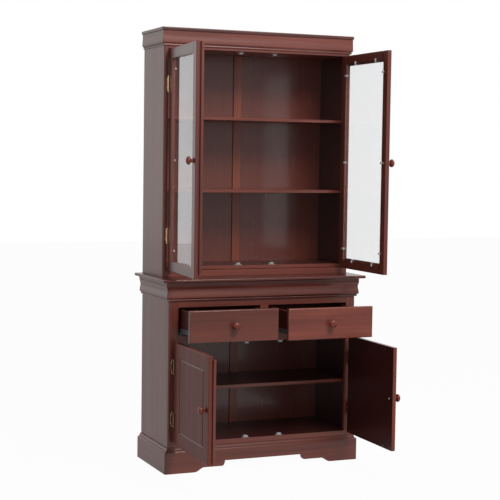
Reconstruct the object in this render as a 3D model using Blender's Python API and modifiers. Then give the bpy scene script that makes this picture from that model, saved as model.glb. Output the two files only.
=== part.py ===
# China cabinet in two parts: a glazed upper case on a base case with two drawers and two doors.
# Metres, +Z up, the front looks along -Y. The origin is under the middle of the rear plinth
# rail, on the floor. The model stands as it is shown: doors open, drawers pulled out.
from math import asin, cos, hypot, pi, radians, sin, sqrt

import bmesh
import bpy

# Clearances
gap = 0.0003                 # between pieces that touch
overrun = 0.010              # how far a cutter runs past what it cuts

# Overall
case_width = 0.8836
base_depth = 0.3568          # face of the base case to its back plane
hutch_depth = 0.2681
corner_radius = 0.0070       # rounded front corners of both cases
corner_steps = 4
edge_ease = 0.0010           # small chamfer on plain boards

# Base case, upwards from the floor
plinth_height = 0.1095
floor_rise = 0.0216          # compartment floor above the plinth
lower_opening_height = 0.4247
mid_rail_height = 0.0350
drawer_opening_height = 0.1200
top_rail_height = 0.1097
slab_thickness = 0.0125
slab_overhang = 0.0366
slab_nose_radius = 0.0040

# Base case boards
side_thickness = 0.0180
stile_width = 0.0438
frame_thickness = 0.0200     # face frame, front to back
floor_thickness = 0.0220
shelf_thickness = 0.0150
base_shelf_rise = 0.2169     # underside of the shelf above the floor board
base_shelf_setback = 0.0300
divider_width = 0.0390
rear_rail_thickness = 0.0180
back_panel_thickness = 0.0060
back_panel_inset = 0.0020
base_muntin_width = 0.0380
hutch_muntin_width = 0.0360
muntin_thickness = 0.0060

# Plinth
plinth_reach = 0.0168        # how far the plinth stands out of the case
plinth_round_height = 0.0093
plinth_round_reach = 0.0063
plinth_step = 0.0025
plinth_top_reach = 0.0040
plinth_cove_height = 0.0130
foot_sole_width = 0.1359     # from the end of the plinth inwards, then ogee, tongue and round
foot_ogee_width = 0.0440
foot_step_height = 0.0190
foot_tongue_width = 0.0830
foot_round_width = 0.0130
apron_rise = 0.0425
foot_round_steps = 5

# Mouldings: a bead below, a swelling and a neck above it, and a cove under the slab
curve_steps = 3
bead_steps = 4
bead_back = 0.0015           # thickness behind the bead
step_rise = 0.0003           # each flat step of a moulding rises this little
crown_height = 0.0650
crown_bead_height = 0.0090
crown_bead_reach = 0.0045
crown_fillet_reach = 0.0055
crown_swell_reach = 0.0107
crown_swell_start = 0.0175
crown_swell_end = 0.0270
crown_face_start = 0.0340
crown_face_reach = 0.0076
frieze_height = 0.0815
frieze_bead_height = 0.0130
frieze_bead_reach = 0.0060
frieze_fillet_reach = 0.0075
frieze_swell_reach = 0.0112
frieze_swell_start = 0.0180
frieze_swell_end = 0.0220
frieze_neck_start = 0.0520
frieze_neck_reach = 0.0070
frieze_cove_start = 0.0700
frieze_cove_reach = 0.0088
frieze_cove_width = 0.0060

# Hutch, upwards from the slab
hutch_rail_height = 0.0280
hutch_opening_height = 0.9500
ceiling_thickness = 0.0180
crown_drop = 0.0080          # how far the crown laps down over the edge of the ceiling board
top_board_thickness = 0.0140
top_board_overhang = 0.0129
top_board_nose_radius = 0.0030
hutch_side_thickness = 0.0185
hutch_floor_thickness = 0.0160
hutch_floor_rise = 0.0170    # floor board above the bottom rail, where the doors stop
hutch_shelf_thickness = 0.0130
hutch_shelf_setback = 0.0320
lower_shelf_rise = 0.3190    # underside of each shelf above the floor board
upper_shelf_rise = 0.6350

# Upper doors, inset between the sides
glass_door_thickness = 0.0190
glass_door_clearance = 0.0015
glass_door_side_clearance = 0.0013
member_width = 0.0450        # stiles and rails
rebate_width = 0.0070
rebate_depth = 0.0080
glass_thickness = 0.0040
door_ease = 0.0005
left_glass_door_angle = 95.0
right_glass_door_angle = 90.0

# Lower doors, laid over the face frame
leaf_thickness = 0.0180
leaf_side_lap = 0.0241
leaf_top_lap = 0.0107
leaf_bottom_lap = 0.0030
leaf_meeting_gap = 0.0010    # half the gap between the two closed leaves
panel_margin = 0.0600
panel_groove_width = 0.0100
panel_groove_depth = 0.0040
left_leaf_angle = 91.4
right_leaf_angle = 89.4

# Stop battens behind the free edges of the two left doors
batten_width = 0.0250
batten_thickness = 0.0110
batten_reach = 0.0090        # past the free edge
batten_end_clearance = 0.0030
tongue_inset = 0.0030        # the glued tongue inside the batten's outline
tongue_bite = 0.0020         # how deep the tongue runs into each piece

# Butt hinges
barrel_radius = 0.0035
barrel_clearance = 0.0003
barrel_sides = 16
glass_hinge_length = 0.0680
glass_hinge_inset = 0.1500   # centre of each hinge from the end of the door
glass_hinge_leaf = 0.0007
glass_hinge_leaf_depth = 0.0170
leaf_hinge_length = 0.0630
leaf_hinge_inset = 0.1060
leaf_hinge_plate = 0.0010
leaf_hinge_foot = 0.0110
leaf_edge_clearance = 0.0016  # edge of a lower door to its hinge line

# Drawers
drawer_front_thickness = 0.0180
drawer_top_lap = 0.0066
drawer_bottom_lap = 0.0087
drawer_stile_lap = 0.0185
drawer_divider_lap = 0.0040
drawer_arris_radius = 0.0050
drawer_arris_steps = 2
drawer_box_length = 0.3000
drawer_box_height = 0.1000
drawer_wall = 0.0120
drawer_bottom_thickness = 0.0060
runner_clearance = 0.0125    # drawer box to the side of its opening
runner_height = 0.0100
runner_bearing = 0.0120      # how far a runner reaches under the drawer
runner_setback = 0.0010
left_drawer_pull = 0.1724
right_drawer_pull = 0.2036

# Turned knobs
knob_radius = 0.0158
knob_length = 0.0280
knob_base_radius = 0.0110
knob_base_length = 0.0030
knob_neck_radius = 0.0065
knob_neck_at = 0.0070
knob_sides = 20
knob_steps = 6
leaf_knob_inset = 0.0310     # from the free edge of a lower door

# Derived planes and levels
half_case = case_width / 2
back_plane = rear_rail_thickness / 2
base_front = back_plane - base_depth
hutch_front = back_plane - hutch_depth
base_inner = half_case - side_thickness
hutch_inner = half_case - hutch_side_thickness
opening_edge = half_case - stile_width
half_divider = divider_width / 2

floor_top = plinth_height + floor_rise
lower_opening_top = floor_top + lower_opening_height
drawer_opening_bottom = lower_opening_top + mid_rail_height
drawer_opening_top = drawer_opening_bottom + drawer_opening_height
slab_bottom = drawer_opening_top + top_rail_height
slab_top = slab_bottom + slab_thickness
frieze_foot = slab_bottom - frieze_height

hutch_opening_bottom = slab_top + hutch_rail_height
hutch_opening_top = hutch_opening_bottom + hutch_opening_height
hutch_floor_top = hutch_opening_bottom + hutch_floor_rise
crown_foot = hutch_opening_top + ceiling_thickness - crown_drop
top_board_bottom = crown_foot + crown_height

back_panel_back = back_plane - back_panel_inset
back_panel_front = back_panel_back - back_panel_thickness
muntin_back = back_panel_front - gap
muntin_front = muntin_back - muntin_thickness

hinge_offset = barrel_radius + barrel_clearance
glass_hinge_x = hutch_inner
glass_hinge_y = hutch_front - hinge_offset
leaf_back = base_front - gap
leaf_front = leaf_back - leaf_thickness
leaf_edge = opening_edge + leaf_side_lap
leaf_hinge_x = leaf_edge + leaf_edge_clearance
leaf_hinge_y = leaf_front - hinge_offset

glass_door_bottom = hutch_opening_bottom + glass_door_clearance
glass_door_top = hutch_opening_top - glass_door_clearance
glass_door_edge = hutch_inner - glass_door_side_clearance
leaf_bottom = floor_top - leaf_bottom_lap
leaf_top = lower_opening_top + leaf_top_lap

sides = {"left": -1, "right": 1}


def clear_scene():
    """Remove whatever the file opened with."""
    for item in list(bpy.data.objects):
        bpy.data.objects.remove(item, do_unlink=True)


def new_collection(name):
    """A collection under the scene's own."""
    group = bpy.data.collections.new(name)
    bpy.context.scene.collection.children.link(group)
    return group


def new_material(name, colour, roughness, metallic=0.0, alpha=1.0):
    """A plain Principled material."""
    material = bpy.data.materials.new(name)
    material.use_nodes = True
    shader = material.node_tree.nodes["Principled BSDF"]
    shader.inputs["Base Color"].default_value = (*colour, 1.0)
    shader.inputs["Roughness"].default_value = roughness
    shader.inputs["Metallic"].default_value = metallic
    shader.inputs["Alpha"].default_value = alpha
    return material


clear_scene()
cabinet = new_collection("china_cabinet")
cutters = new_collection("cutters")

case_wood = ("case_wood", (0.20, 0.075, 0.050), 0.35)
door_wood = ("door_wood", (0.22, 0.080, 0.052), 0.32)
back_board = ("back_board", (0.16, 0.060, 0.045), 0.50)
knob_wood = ("knob_wood", (0.24, 0.070, 0.045), 0.25)
brass = ("hinge_brass", (0.78, 0.60, 0.34), 0.30, 1.0)
steel = ("runner_steel", (0.62, 0.62, 0.64), 0.40, 1.0)
pane = ("door_glass", (0.90, 0.95, 0.94), 0.05, 0.0, 0.30)


def put(name, data, look, parent=None, location=(0, 0, 0), rotation=(0, 0, 0)):
    """Place mesh or curve data as a named piece with its own material."""
    piece = bpy.data.objects.new(name, data)
    kind, *values = look
    data.materials.append(new_material(f"{name}_{kind}", *values))
    piece.parent = parent
    piece.location = location
    piece.rotation_euler = rotation
    cabinet.objects.link(piece)
    return piece


def pivot(name, location, turn=0.0):
    """An empty on a joint's axis that carries what moves with it."""
    empty = bpy.data.objects.new(name, None)
    empty.location = location
    empty.rotation_euler = (0, 0, turn)
    cabinet.objects.link(empty)
    return empty


def middle(span):
    """Centre of a (low, high) span."""
    return (span[0] + span[1]) / 2


def mirrored(side, inner, outer):
    """Span along X from |inner| to |outer| on one side of the middle plane."""
    return tuple(sorted((side * inner, side * outer)))


def box_mesh(name, x, y, z):
    """A cube primitive brought to size about its own centre."""
    mesh = bpy.data.meshes.new(name)
    bm = bmesh.new()
    bmesh.ops.create_cube(bm, size=1)
    bmesh.ops.scale(bm, vec=(x[1] - x[0], y[1] - y[0], z[1] - z[0]), verts=bm.verts)
    bm.to_mesh(mesh)
    bm.free()
    return mesh


def box(name, x, y, z, look, parent=None):
    """A plain board given by its spans along X, Y and Z."""
    return put(name, box_mesh(name, x, y, z), look, parent, (middle(x), middle(y), middle(z)))


def bevel(piece, width, segments=1):
    """Round or chamfer the edges of a board."""
    modifier = piece.modifiers.new("edges", "BEVEL")
    modifier.width = width
    modifier.segments = segments
    modifier.limit_method = "ANGLE"
    return piece


def board(name, x, y, z, look=case_wood, parent=None):
    """A plain board with its edges eased."""
    return bevel(box(name, x, y, z, look, parent), edge_ease)


def cutter(name, data, parent=None, location=(0, 0, 0)):
    """A helper solid that the model uses and leaves out."""
    tool = bpy.data.objects.new(name, data)
    tool.parent = parent
    tool.location = location
    tool.hide_render = True
    tool.display_type = "WIRE"
    cutters.objects.link(tool)
    return tool


def boolean(piece, tool, operation):
    """Cut a helper out of a piece, or join it on."""
    modifier = piece.modifiers.new(f"{operation.lower()}_{tool.name}", "BOOLEAN")
    modifier.operation = operation
    modifier.object = tool


def box_tool(piece, x, y, z, operation, parent=None):
    """Cut a box out of a piece, or join one on."""
    name = f"{piece.name}_{operation.lower()}_{len(piece.modifiers)}"
    tool = cutter(name, box_mesh(name, x, y, z), parent, (middle(x), middle(y), middle(z)))
    boolean(piece, tool, operation)


def outline_curve(name, points, thickness):
    """A flat outline, filled and given its thickness."""
    curve = bpy.data.curves.new(name, "CURVE")
    curve.dimensions = "2D"
    curve.fill_mode = "BOTH"
    curve.extrude = thickness / 2
    spline = curve.splines.new("POLY")
    spline.points.add(len(points) - 1)
    spline.use_cyclic_u = True
    for point, (across, along) in zip(spline.points, points):
        point.co = (across, along, 0, 1)
    return curve


def prism(name, points, z, look):
    """An upright piece with a given plan."""
    return put(name, outline_curve(name, points, z[1] - z[0]), look, None, (0, 0, middle(z)))


def arc(centre, radii, start, end, steps):
    """Points along an elliptical arc, angles in degrees."""
    turns = [radians(start + (end - start) * step / steps) for step in range(steps + 1)]
    return [(centre[0] + radii[0] * cos(turn), centre[1] + radii[1] * sin(turn)) for turn in turns]


def s_curve(low, high):
    """Points of a smooth double curve from (reach, height) to (reach, height)."""
    shares = [step / curve_steps for step in range(curve_steps + 1)]
    return [(low[0] + (high[0] - low[0]) * (1 - cos(pi * share)) / 2,
             low[1] + (high[1] - low[1]) * share) for share in shares]


def smooth(mesh):
    """Smooth the curved faces and keep the sharp edges."""
    mesh.shade_smooth()
    mesh.set_sharp_from_angle(angle=radians(35))


def front_plan(front, reach):
    """Mitred plan of a moulding on the front of a case."""
    face = front - gap
    wide = half_case + gap
    return [(-wide, face), (-wide - reach, face - reach), (wide + reach, face - reach), (wide, face)]


def side_plan(side, front, reach):
    """Mitred plan of a moulding on the side of a case."""
    mitre = front - gap + gap * sqrt(2)
    near = side * (half_case + gap)
    far = side * (half_case + gap + reach)
    return [(near, mitre), (near, back_plane), (far, back_plane), (far, mitre - reach)]


def stacked_mesh(name, levels):
    """A solid raised from a four-cornered plan through a list of (height, corners)."""
    mesh = bpy.data.meshes.new(name)
    bm = bmesh.new()
    bmesh.ops.create_grid(bm, x_segments=1, y_segments=1, size=1)
    sole = bm.faces[:][0]
    height, corners = levels[0]
    for vert, corner in zip(sole.verts, corners):
        vert.co = (*corner, height)
    cap = sole
    last = corners
    for height, corners in levels[1:]:
        raised = bmesh.ops.extrude_face_region(bm, geom=[cap])["geom"]
        if cap is not sole:
            bmesh.ops.delete(bm, geom=[cap], context="FACES_ONLY")
        cap = next(item for item in raised if isinstance(item, bmesh.types.BMFace))
        for vert in cap.verts:
            offsets = [hypot(vert.co.x - across, vert.co.y - along) for across, along in last]
            vert.co = (*corners[offsets.index(min(offsets))], height)
        last = corners
    bmesh.ops.recalc_face_normals(bm, faces=bm.faces)
    bm.to_mesh(mesh)
    bm.free()
    smooth(mesh)
    return mesh


def mouldings(name, front, foot, profile):
    """Front and side strips of one moulding, mitred where they meet."""
    levels = [(height, front_plan(front, reach)) for reach, height in profile]
    strips = [put(f"{name}_front", stacked_mesh(name, levels), case_wood, None, (0, 0, foot))]
    for word, side in sides.items():
        levels = [(height, side_plan(side, front, reach)) for reach, height in profile]
        strips.append(put(f"{name}_{word}", stacked_mesh(name, levels), case_wood, None, (0, 0, foot)))
    return strips


def bead(height, reach):
    """The bead under a moulding."""
    return arc((bead_back, height / 2), (reach - bead_back, height / 2), -90, 90, bead_steps)


def crown_profile():
    """Bead, swelling and plain face."""
    fillet = (crown_fillet_reach, crown_bead_height + step_rise)
    rise = s_curve(fillet, (crown_swell_reach, crown_swell_start))
    fall = s_curve((crown_swell_reach, crown_swell_end), (crown_face_reach, crown_face_start))
    return bead(crown_bead_height, crown_bead_reach) + rise + fall + [(crown_face_reach, crown_height - gap)]


def frieze_profile():
    """Bead, swelling, neck, and a cove that opens under the slab."""
    top = frieze_height - gap
    cove = arc((frieze_cove_reach + frieze_cove_width, frieze_cove_start),
               (frieze_cove_width, top - frieze_cove_start), 180, 90, curve_steps)
    fillet = (frieze_fillet_reach, frieze_bead_height + step_rise)
    rise = s_curve(fillet, (frieze_swell_reach, frieze_swell_start))
    fall = s_curve((frieze_swell_reach, frieze_swell_end), (frieze_neck_reach, frieze_neck_start))
    return bead(frieze_bead_height, frieze_bead_reach) + rise + fall + cove


def plinth_profile():
    """Plain board, quarter round, small step and cove."""
    cove_start = plinth_height - plinth_cove_height
    round_start = cove_start - plinth_round_height
    inner = plinth_reach - plinth_round_reach
    rounded = arc((inner, round_start), (plinth_round_reach, plinth_round_height), 0, 90, curve_steps)
    cove = s_curve((inner - plinth_step, cove_start + step_rise), (plinth_top_reach, plinth_height))
    return [(plinth_reach, 0)] + rounded + cove


def apron_outline():
    """The space between the front feet, as (across, up) from the middle of the floor."""
    sole_end = half_case + gap + plinth_reach - foot_sole_width
    ogee_end = sole_end - foot_ogee_width
    tongue_end = ogee_end - foot_tongue_width
    ogee = [(sole_end - foot_ogee_width * step / foot_round_steps,
             foot_step_height * (1 - cos(pi * step / foot_round_steps)) / 2)
            for step in range(foot_round_steps)]
    rounded = arc((tongue_end, apron_rise), (foot_round_width, apron_rise - foot_step_height),
                  -90, -180, foot_round_steps)
    half = [(sole_end, -overrun)] + ogee + [(ogee_end, foot_step_height)] + rounded
    return half + [(-across, up) for across, up in reversed(half)]


def cut_apron(strip):
    """Cut the space between the feet out of the plinth front."""
    depth = plinth_reach + overrun
    curve = outline_curve("apron_outline", apron_outline(), depth + overrun)
    guide = cutter("apron_guide", curve, None, (0, base_front - plinth_reach / 2, 0))
    guide.rotation_euler = (pi / 2, 0, 0)
    bpy.context.view_layer.update()
    evaluated = guide.evaluated_get(bpy.context.evaluated_depsgraph_get())
    mesh = bpy.data.meshes.new_from_object(evaluated)
    bm = bmesh.new()
    bm.from_mesh(mesh)
    bmesh.ops.remove_doubles(bm, verts=bm.verts, dist=gap / 10)
    bmesh.ops.recalc_face_normals(bm, faces=bm.faces)
    bm.to_mesh(mesh)
    bm.free()
    tool = cutter("apron_cutter", mesh)
    tool.matrix_world = guide.matrix_world
    bpy.data.objects.remove(guide, do_unlink=True)
    boolean(strip, tool, "DIFFERENCE")


def rounded_plan(side, inner, outer, y, radius):
    """Plan of an upright post whose outer front corner is rounded."""
    corner = arc((outer - radius, y[0] + radius), (radius, radius), 0, -90, corner_steps)
    plan = [(inner, y[1]), (outer, y[1])] + corner + [(inner, y[0])]
    return [(side * across, along) for across, along in plan]


def build_base_case():
    """Sides, face frame, floor, shelf, back and top of the base case."""
    frame_back = base_front + frame_thickness
    upright = (0, slab_bottom - gap)
    for word, side in sides.items():
        x = mirrored(side, base_inner, half_case)
        board(f"base_side_{word}", x, (frame_back + gap, back_plane), upright)
        plan = rounded_plan(side, opening_edge, half_case, (base_front, frame_back), corner_radius)
        prism(f"base_stile_{word}", plan, upright, case_wood)
    between = (gap - opening_edge, opening_edge - gap)
    frame = (base_front, frame_back)
    board("base_top_rail", between, frame, (drawer_opening_top, slab_bottom - gap))
    board("base_mid_rail", between, frame, (lower_opening_top, drawer_opening_bottom))
    board("drawer_divider", (-half_divider, half_divider), (base_front, muntin_front - gap),
          (drawer_opening_bottom + gap, drawer_opening_top - gap))
    build_base_floor(frame_back + gap)
    inside = (gap - base_inner, base_inner - gap)
    shelf_bottom = floor_top + base_shelf_rise
    board("base_shelf", inside, (base_front + base_shelf_setback, muntin_front - gap),
          (shelf_bottom, shelf_bottom + shelf_thickness))
    rail_top = floor_top - floor_thickness - gap
    board("plinth_rear_rail", inside, (-rear_rail_thickness / 2, rear_rail_thickness / 2), (0, rail_top))
    box("base_back_panel", inside, (back_panel_front, back_panel_back),
        (rail_top + gap, slab_bottom - gap), back_board)
    box("base_back_muntin", (-base_muntin_width / 2, base_muntin_width / 2), (muntin_front, muntin_back),
        (floor_top + gap, slab_bottom - gap), back_board)
    slab = box("base_top_slab", (-half_case - slab_overhang, half_case + slab_overhang),
               (base_front - slab_overhang, back_plane), (slab_bottom, slab_top), case_wood)
    bevel(slab, slab_nose_radius, 2)


def build_base_floor(notch_back):
    """Floor board, notched at the front corners round the stiles."""
    wide = base_inner - gap
    narrow = opening_edge - gap
    rear = back_panel_front - gap
    right = [(narrow, base_front), (narrow, notch_back), (wide, notch_back), (wide, rear)]
    plan = right + [(-across, along) for across, along in reversed(right)]
    prism("base_floor", plan, (floor_top - floor_thickness, floor_top), case_wood)


def build_hutch():
    """Sides, rails, floor, ceiling, shelves, back and top of the upper case."""
    foot = slab_top + gap
    rail_back = hutch_front + frame_thickness
    head = top_board_bottom - gap
    for word, side in sides.items():
        piece = prism_side(f"hutch_side_{word}", side, (foot, head))
        notch = mirrored(side, hutch_inner - overrun, half_case + overrun)
        box_tool(piece, notch, (hutch_front - overrun, rail_back + gap),
                 (foot - overrun, hutch_opening_bottom + gap), "DIFFERENCE")
    board("hutch_bottom_rail", (-half_case, half_case), (hutch_front, rail_back),
          (foot, hutch_opening_bottom))
    inside = (gap - hutch_inner, hutch_inner - gap)
    to_back = back_panel_front - gap
    board("hutch_floor", inside, (rail_back + gap, to_back),
          (hutch_floor_top - hutch_floor_thickness, hutch_floor_top))
    board("hutch_ceiling", inside, (hutch_front, to_back),
          (hutch_opening_top, hutch_opening_top + ceiling_thickness))
    for word, rise in (("lower", lower_shelf_rise), ("upper", upper_shelf_rise)):
        bottom = hutch_floor_top + rise
        board(f"hutch_shelf_{word}", inside, (hutch_front + hutch_shelf_setback, muntin_front - gap),
              (bottom, bottom + hutch_shelf_thickness))
    box("hutch_back_panel", inside, (back_panel_front, back_panel_back), (foot, head), back_board)
    box("hutch_back_muntin", (-hutch_muntin_width / 2, hutch_muntin_width / 2), (muntin_front, muntin_back),
        (hutch_floor_top + gap, hutch_opening_top - gap), back_board)
    wide = half_case + top_board_overhang
    top = box("hutch_top_board", (-wide, wide), (hutch_front - top_board_overhang, back_plane),
              (top_board_bottom, top_board_bottom + top_board_thickness), case_wood)
    bevel(top, top_board_nose_radius, 2)


def prism_side(name, side, z):
    """Upper case side as a mesh board whose outer front corner is rounded."""
    x = mirrored(side, hutch_inner, half_case)
    y = (hutch_front, back_plane)
    mesh = box_mesh(name, x, y, z)
    bm = bmesh.new()
    bm.from_mesh(mesh)
    corner = [edge for edge in bm.edges
              if all(side * vert.co.x > 0 and vert.co.y < 0 for vert in edge.verts)]
    bmesh.ops.bevel(bm, geom=corner, offset=corner_radius, segments=corner_steps, profile=0.5,
                    affect="EDGES")
    bm.to_mesh(mesh)
    bm.free()
    return put(name, mesh, case_wood, None, (middle(x), middle(y), middle(z)))


def add_batten(piece, carrier, free_edge, back, z):
    """Join a stop batten to the inner face of a left door, along its free edge."""
    x = (free_edge + batten_reach - batten_width, free_edge + batten_reach)
    y = (back + gap, back + gap + batten_thickness)
    tongue_x = (x[0] + tongue_inset, free_edge - tongue_inset)
    tongue_y = (back - tongue_bite, back + gap + tongue_bite)
    tongue_z = (z[0] + tongue_inset, z[1] - tongue_inset)
    box_tool(piece, tongue_x, tongue_y, tongue_z, "UNION", carrier)
    box_tool(piece, x, y, z, "UNION", carrier)


def build_knob(name, carrier, x, front, z):
    """A turned knob that stands out of a front, along -Y."""
    ball_centre = knob_length - knob_radius
    ball = arc((0, ball_centre), (knob_radius, knob_radius), 90, -20, knob_steps)
    profile = ball + [(knob_neck_radius, knob_neck_at), (knob_base_radius, knob_base_length),
                      (knob_base_radius, 0), (0, 0)]
    mesh = bpy.data.meshes.new(name)
    bm = bmesh.new()
    verts = [bm.verts.new((max(radius, 0), 0, height)) for radius, height in profile]
    for first, second in zip(verts, verts[1:]):
        bm.edges.new((first, second))
    bm.to_mesh(mesh)
    bm.free()
    knob = put(name, mesh, knob_wood, carrier, (x, front - gap, z), (pi / 2, 0, 0))
    screw = knob.modifiers.new("turned", "SCREW")
    screw.steps = knob_sides
    screw.render_steps = knob_sides
    screw.use_merge_vertices = True
    screw.merge_threshold = gap / 10
    screw.use_smooth_shade = True


def build_glass_door(word, side, angle):
    """One upper door: frame, pane and knob, hung on the upper case side."""
    carrier = pivot(f"hutch_door_{word}", (side * glass_hinge_x, glass_hinge_y, 0), side * radians(angle))
    edge = side * (glass_door_edge - glass_hinge_x)
    free = side * (glass_door_clearance - glass_hinge_x)
    x = tuple(sorted((edge, free)))
    y = (hinge_offset, hinge_offset + glass_door_thickness)
    z = (glass_door_bottom, glass_door_top)
    frame = bevel(box(f"hutch_door_{word}_frame", x, y, z, door_wood, carrier), door_ease)
    sight_x = (x[0] + member_width, x[1] - member_width)
    sight_z = (z[0] + member_width, z[1] - member_width)
    box_tool(frame, sight_x, (y[0] - overrun, y[1] + overrun), sight_z, "DIFFERENCE", carrier)
    rebate_x = (sight_x[0] - rebate_width, sight_x[1] + rebate_width)
    rebate_z = (sight_z[0] - rebate_width, sight_z[1] + rebate_width)
    seat = y[1] - rebate_depth
    box_tool(frame, rebate_x, (seat, y[1] + overrun), rebate_z, "DIFFERENCE", carrier)
    if side < 0:
        batten_z = (hutch_floor_top + batten_end_clearance, hutch_opening_top - batten_end_clearance)
        add_batten(frame, carrier, free, y[1], batten_z)
    box(f"hutch_door_{word}_glass", (rebate_x[0] + gap, rebate_x[1] - gap),
        (seat + gap, seat + gap + glass_thickness), (rebate_z[0] + gap, rebate_z[1] - gap), pane, carrier)
    knob_x = free + side * member_width / 2
    build_knob(f"hutch_door_{word}_knob", carrier, knob_x, y[0], middle(z))


def build_leaf(word, side, angle):
    """One lower door: a leaf with a routed panel, and its knob."""
    carrier = pivot(f"base_door_{word}", (side * leaf_hinge_x, leaf_hinge_y, 0), side * radians(angle))
    edge = side * (leaf_edge - leaf_hinge_x)
    free = side * (leaf_meeting_gap - leaf_hinge_x)
    x = tuple(sorted((edge, free)))
    y = (hinge_offset, hinge_offset + leaf_thickness)
    z = (leaf_bottom, leaf_top)
    name = f"base_door_{word}_leaf"
    mesh = box_mesh(name, x, y, z)
    bm = bmesh.new()
    bm.from_mesh(mesh)
    face = [min(bm.faces, key=lambda item: item.calc_center_median().y)]
    bmesh.ops.inset_individual(bm, faces=face, thickness=panel_margin)
    half_groove = panel_groove_width / 2
    bmesh.ops.inset_individual(bm, faces=face, thickness=half_groove, depth=-panel_groove_depth)
    bmesh.ops.inset_individual(bm, faces=face, thickness=half_groove, depth=panel_groove_depth)
    bm.to_mesh(mesh)
    bm.free()
    leaf = put(name, mesh, door_wood, carrier, (middle(x), middle(y), middle(z)))
    bevel(leaf, door_ease).modifiers["edges"].angle_limit = radians(60)
    if side < 0:
        batten_z = (floor_top + batten_end_clearance, lower_opening_top - batten_end_clearance)
        add_batten(leaf, carrier, free, y[1], batten_z)
    build_knob(f"base_door_{word}_knob", carrier, free + side * leaf_knob_inset, y[0], middle(z))


def hinge_plan(side, near, far, plate):
    """Plan of a hinge: its barrel round the origin, then the corners of its plate."""
    start = asin(far / barrel_radius)
    turn = 2 * pi + asin(near / barrel_radius) - start
    angles = [start + turn * step / barrel_sides for step in range(barrel_sides + 1)]
    barrel = [(barrel_radius * sin(angle), barrel_radius * cos(angle)) for angle in angles]
    return [(-side * across, along) for across, along in barrel + plate]


def build_hinges():
    """Eight brass hinges, each a barrel with the leaf that is fixed to the case."""
    for word, side in sides.items():
        levels = (("lower", glass_door_bottom + glass_hinge_inset),
                  ("upper", glass_door_top - glass_hinge_inset))
        near = gap
        far = gap + glass_hinge_leaf
        depth = hinge_offset + glass_hinge_leaf_depth
        for level, height in levels:
            z = (height - glass_hinge_length / 2, height + glass_hinge_length / 2)
            plan = hinge_plan(side, near, far, [(near, depth), (far, depth)])
            hinge = prism(f"hutch_hinge_{word}_{level}", plan, z, brass)
            hinge.location.x = side * glass_hinge_x
            hinge.location.y = glass_hinge_y
        levels = (("lower", leaf_bottom + leaf_hinge_inset), ("upper", leaf_top - leaf_hinge_inset))
        far = gap + leaf_hinge_plate
        face = base_front - gap - leaf_hinge_y
        foot = face - leaf_hinge_plate
        plate = [(near, foot), (-leaf_hinge_foot, foot), (-leaf_hinge_foot, face), (far, face)]
        for level, height in levels:
            z = (height - leaf_hinge_length / 2, height + leaf_hinge_length / 2)
            hinge = prism(f"base_hinge_{word}_{level}", hinge_plan(side, near, far, plate), z, brass)
            hinge.location.x = side * leaf_hinge_x
            hinge.location.y = leaf_hinge_y


def build_drawer(word, side, pull):
    """One drawer: front, box and knob, pulled out of the case."""
    carrier = pivot(f"drawer_{word}", (0, -pull, 0))
    x = mirrored(side, half_divider - drawer_divider_lap, opening_edge + drawer_stile_lap)
    y = (base_front - gap - drawer_front_thickness, base_front - gap)
    z = (drawer_opening_bottom - drawer_bottom_lap, drawer_opening_top + drawer_top_lap)
    front = box(f"drawer_{word}_front", x, y, z, door_wood, carrier)
    bevel(front, drawer_arris_radius, drawer_arris_steps)
    build_drawer_box(word, side, carrier)
    build_knob(f"drawer_{word}_knob", carrier, middle(x), y[0], middle(z))


def build_drawer_box(word, side, carrier):
    """An open tray that runs in its opening on two runners."""
    x = mirrored(side, half_divider + runner_clearance, opening_edge - runner_clearance)
    y = (base_front, base_front + drawer_box_length)
    bottom = drawer_opening_bottom + gap + runner_height + gap
    z = (bottom, bottom + drawer_box_height)
    name = f"drawer_{word}_box"
    mesh = box_mesh(name, x, y, z)
    bm = bmesh.new()
    bm.from_mesh(mesh)
    top = [max(bm.faces, key=lambda item: item.calc_center_median().z)]
    bmesh.ops.inset_individual(bm, faces=top, thickness=drawer_wall)
    pushed = bmesh.ops.extrude_discrete_faces(bm, faces=top)["faces"]
    bmesh.ops.translate(bm, vec=(0, 0, drawer_bottom_thickness - drawer_box_height), verts=pushed[0].verts)
    bm.to_mesh(mesh)
    bm.free()
    put(name, mesh, back_board, carrier, (middle(x), middle(y), middle(z)))


def build_runners():
    """Four runners that carry the drawers, from the mid rail to the back."""
    z = (drawer_opening_bottom + gap, drawer_opening_bottom + gap + runner_height)
    reach = runner_clearance + runner_bearing
    y = (base_front + runner_setback, back_panel_front - gap)
    for word, side in sides.items():
        inner = mirrored(side, half_divider + gap, half_divider + reach)
        outer = mirrored(side, opening_edge - reach, opening_edge - gap)
        box(f"runner_{word}_inner", inner, y, z, steel)
        box(f"runner_{word}_outer", outer, y, z, steel)


build_base_case()
cut_apron(mouldings("plinth", base_front, 0, plinth_profile())[0])
mouldings("base_frieze", base_front, frieze_foot, frieze_profile())
build_hutch()
mouldings("crown", hutch_front, crown_foot, crown_profile())
build_glass_door("left", sides["left"], left_glass_door_angle)
build_glass_door("right", sides["right"], right_glass_door_angle)
build_leaf("left", sides["left"], left_leaf_angle)
build_leaf("right", sides["right"], right_leaf_angle)
build_hinges()
build_drawer("left", sides["left"], left_drawer_pull)
build_drawer("right", sides["right"], right_drawer_pull)
build_runners()
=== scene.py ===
# %% [markdown]
# # A china cabinet, dressed for its picture
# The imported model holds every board, door and drawer of the cabinet at its true size and place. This
# lesson puts finer mouldings, turned knobs, hinges, fittings and finishes round that frame.
# Everything is in metres: X runs to the right, Y to the back, Z up, and the floor is at zero.

# %% Load the cabinet
import math

import bmesh
import bpy
from mathutils import Matrix, Vector


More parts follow.
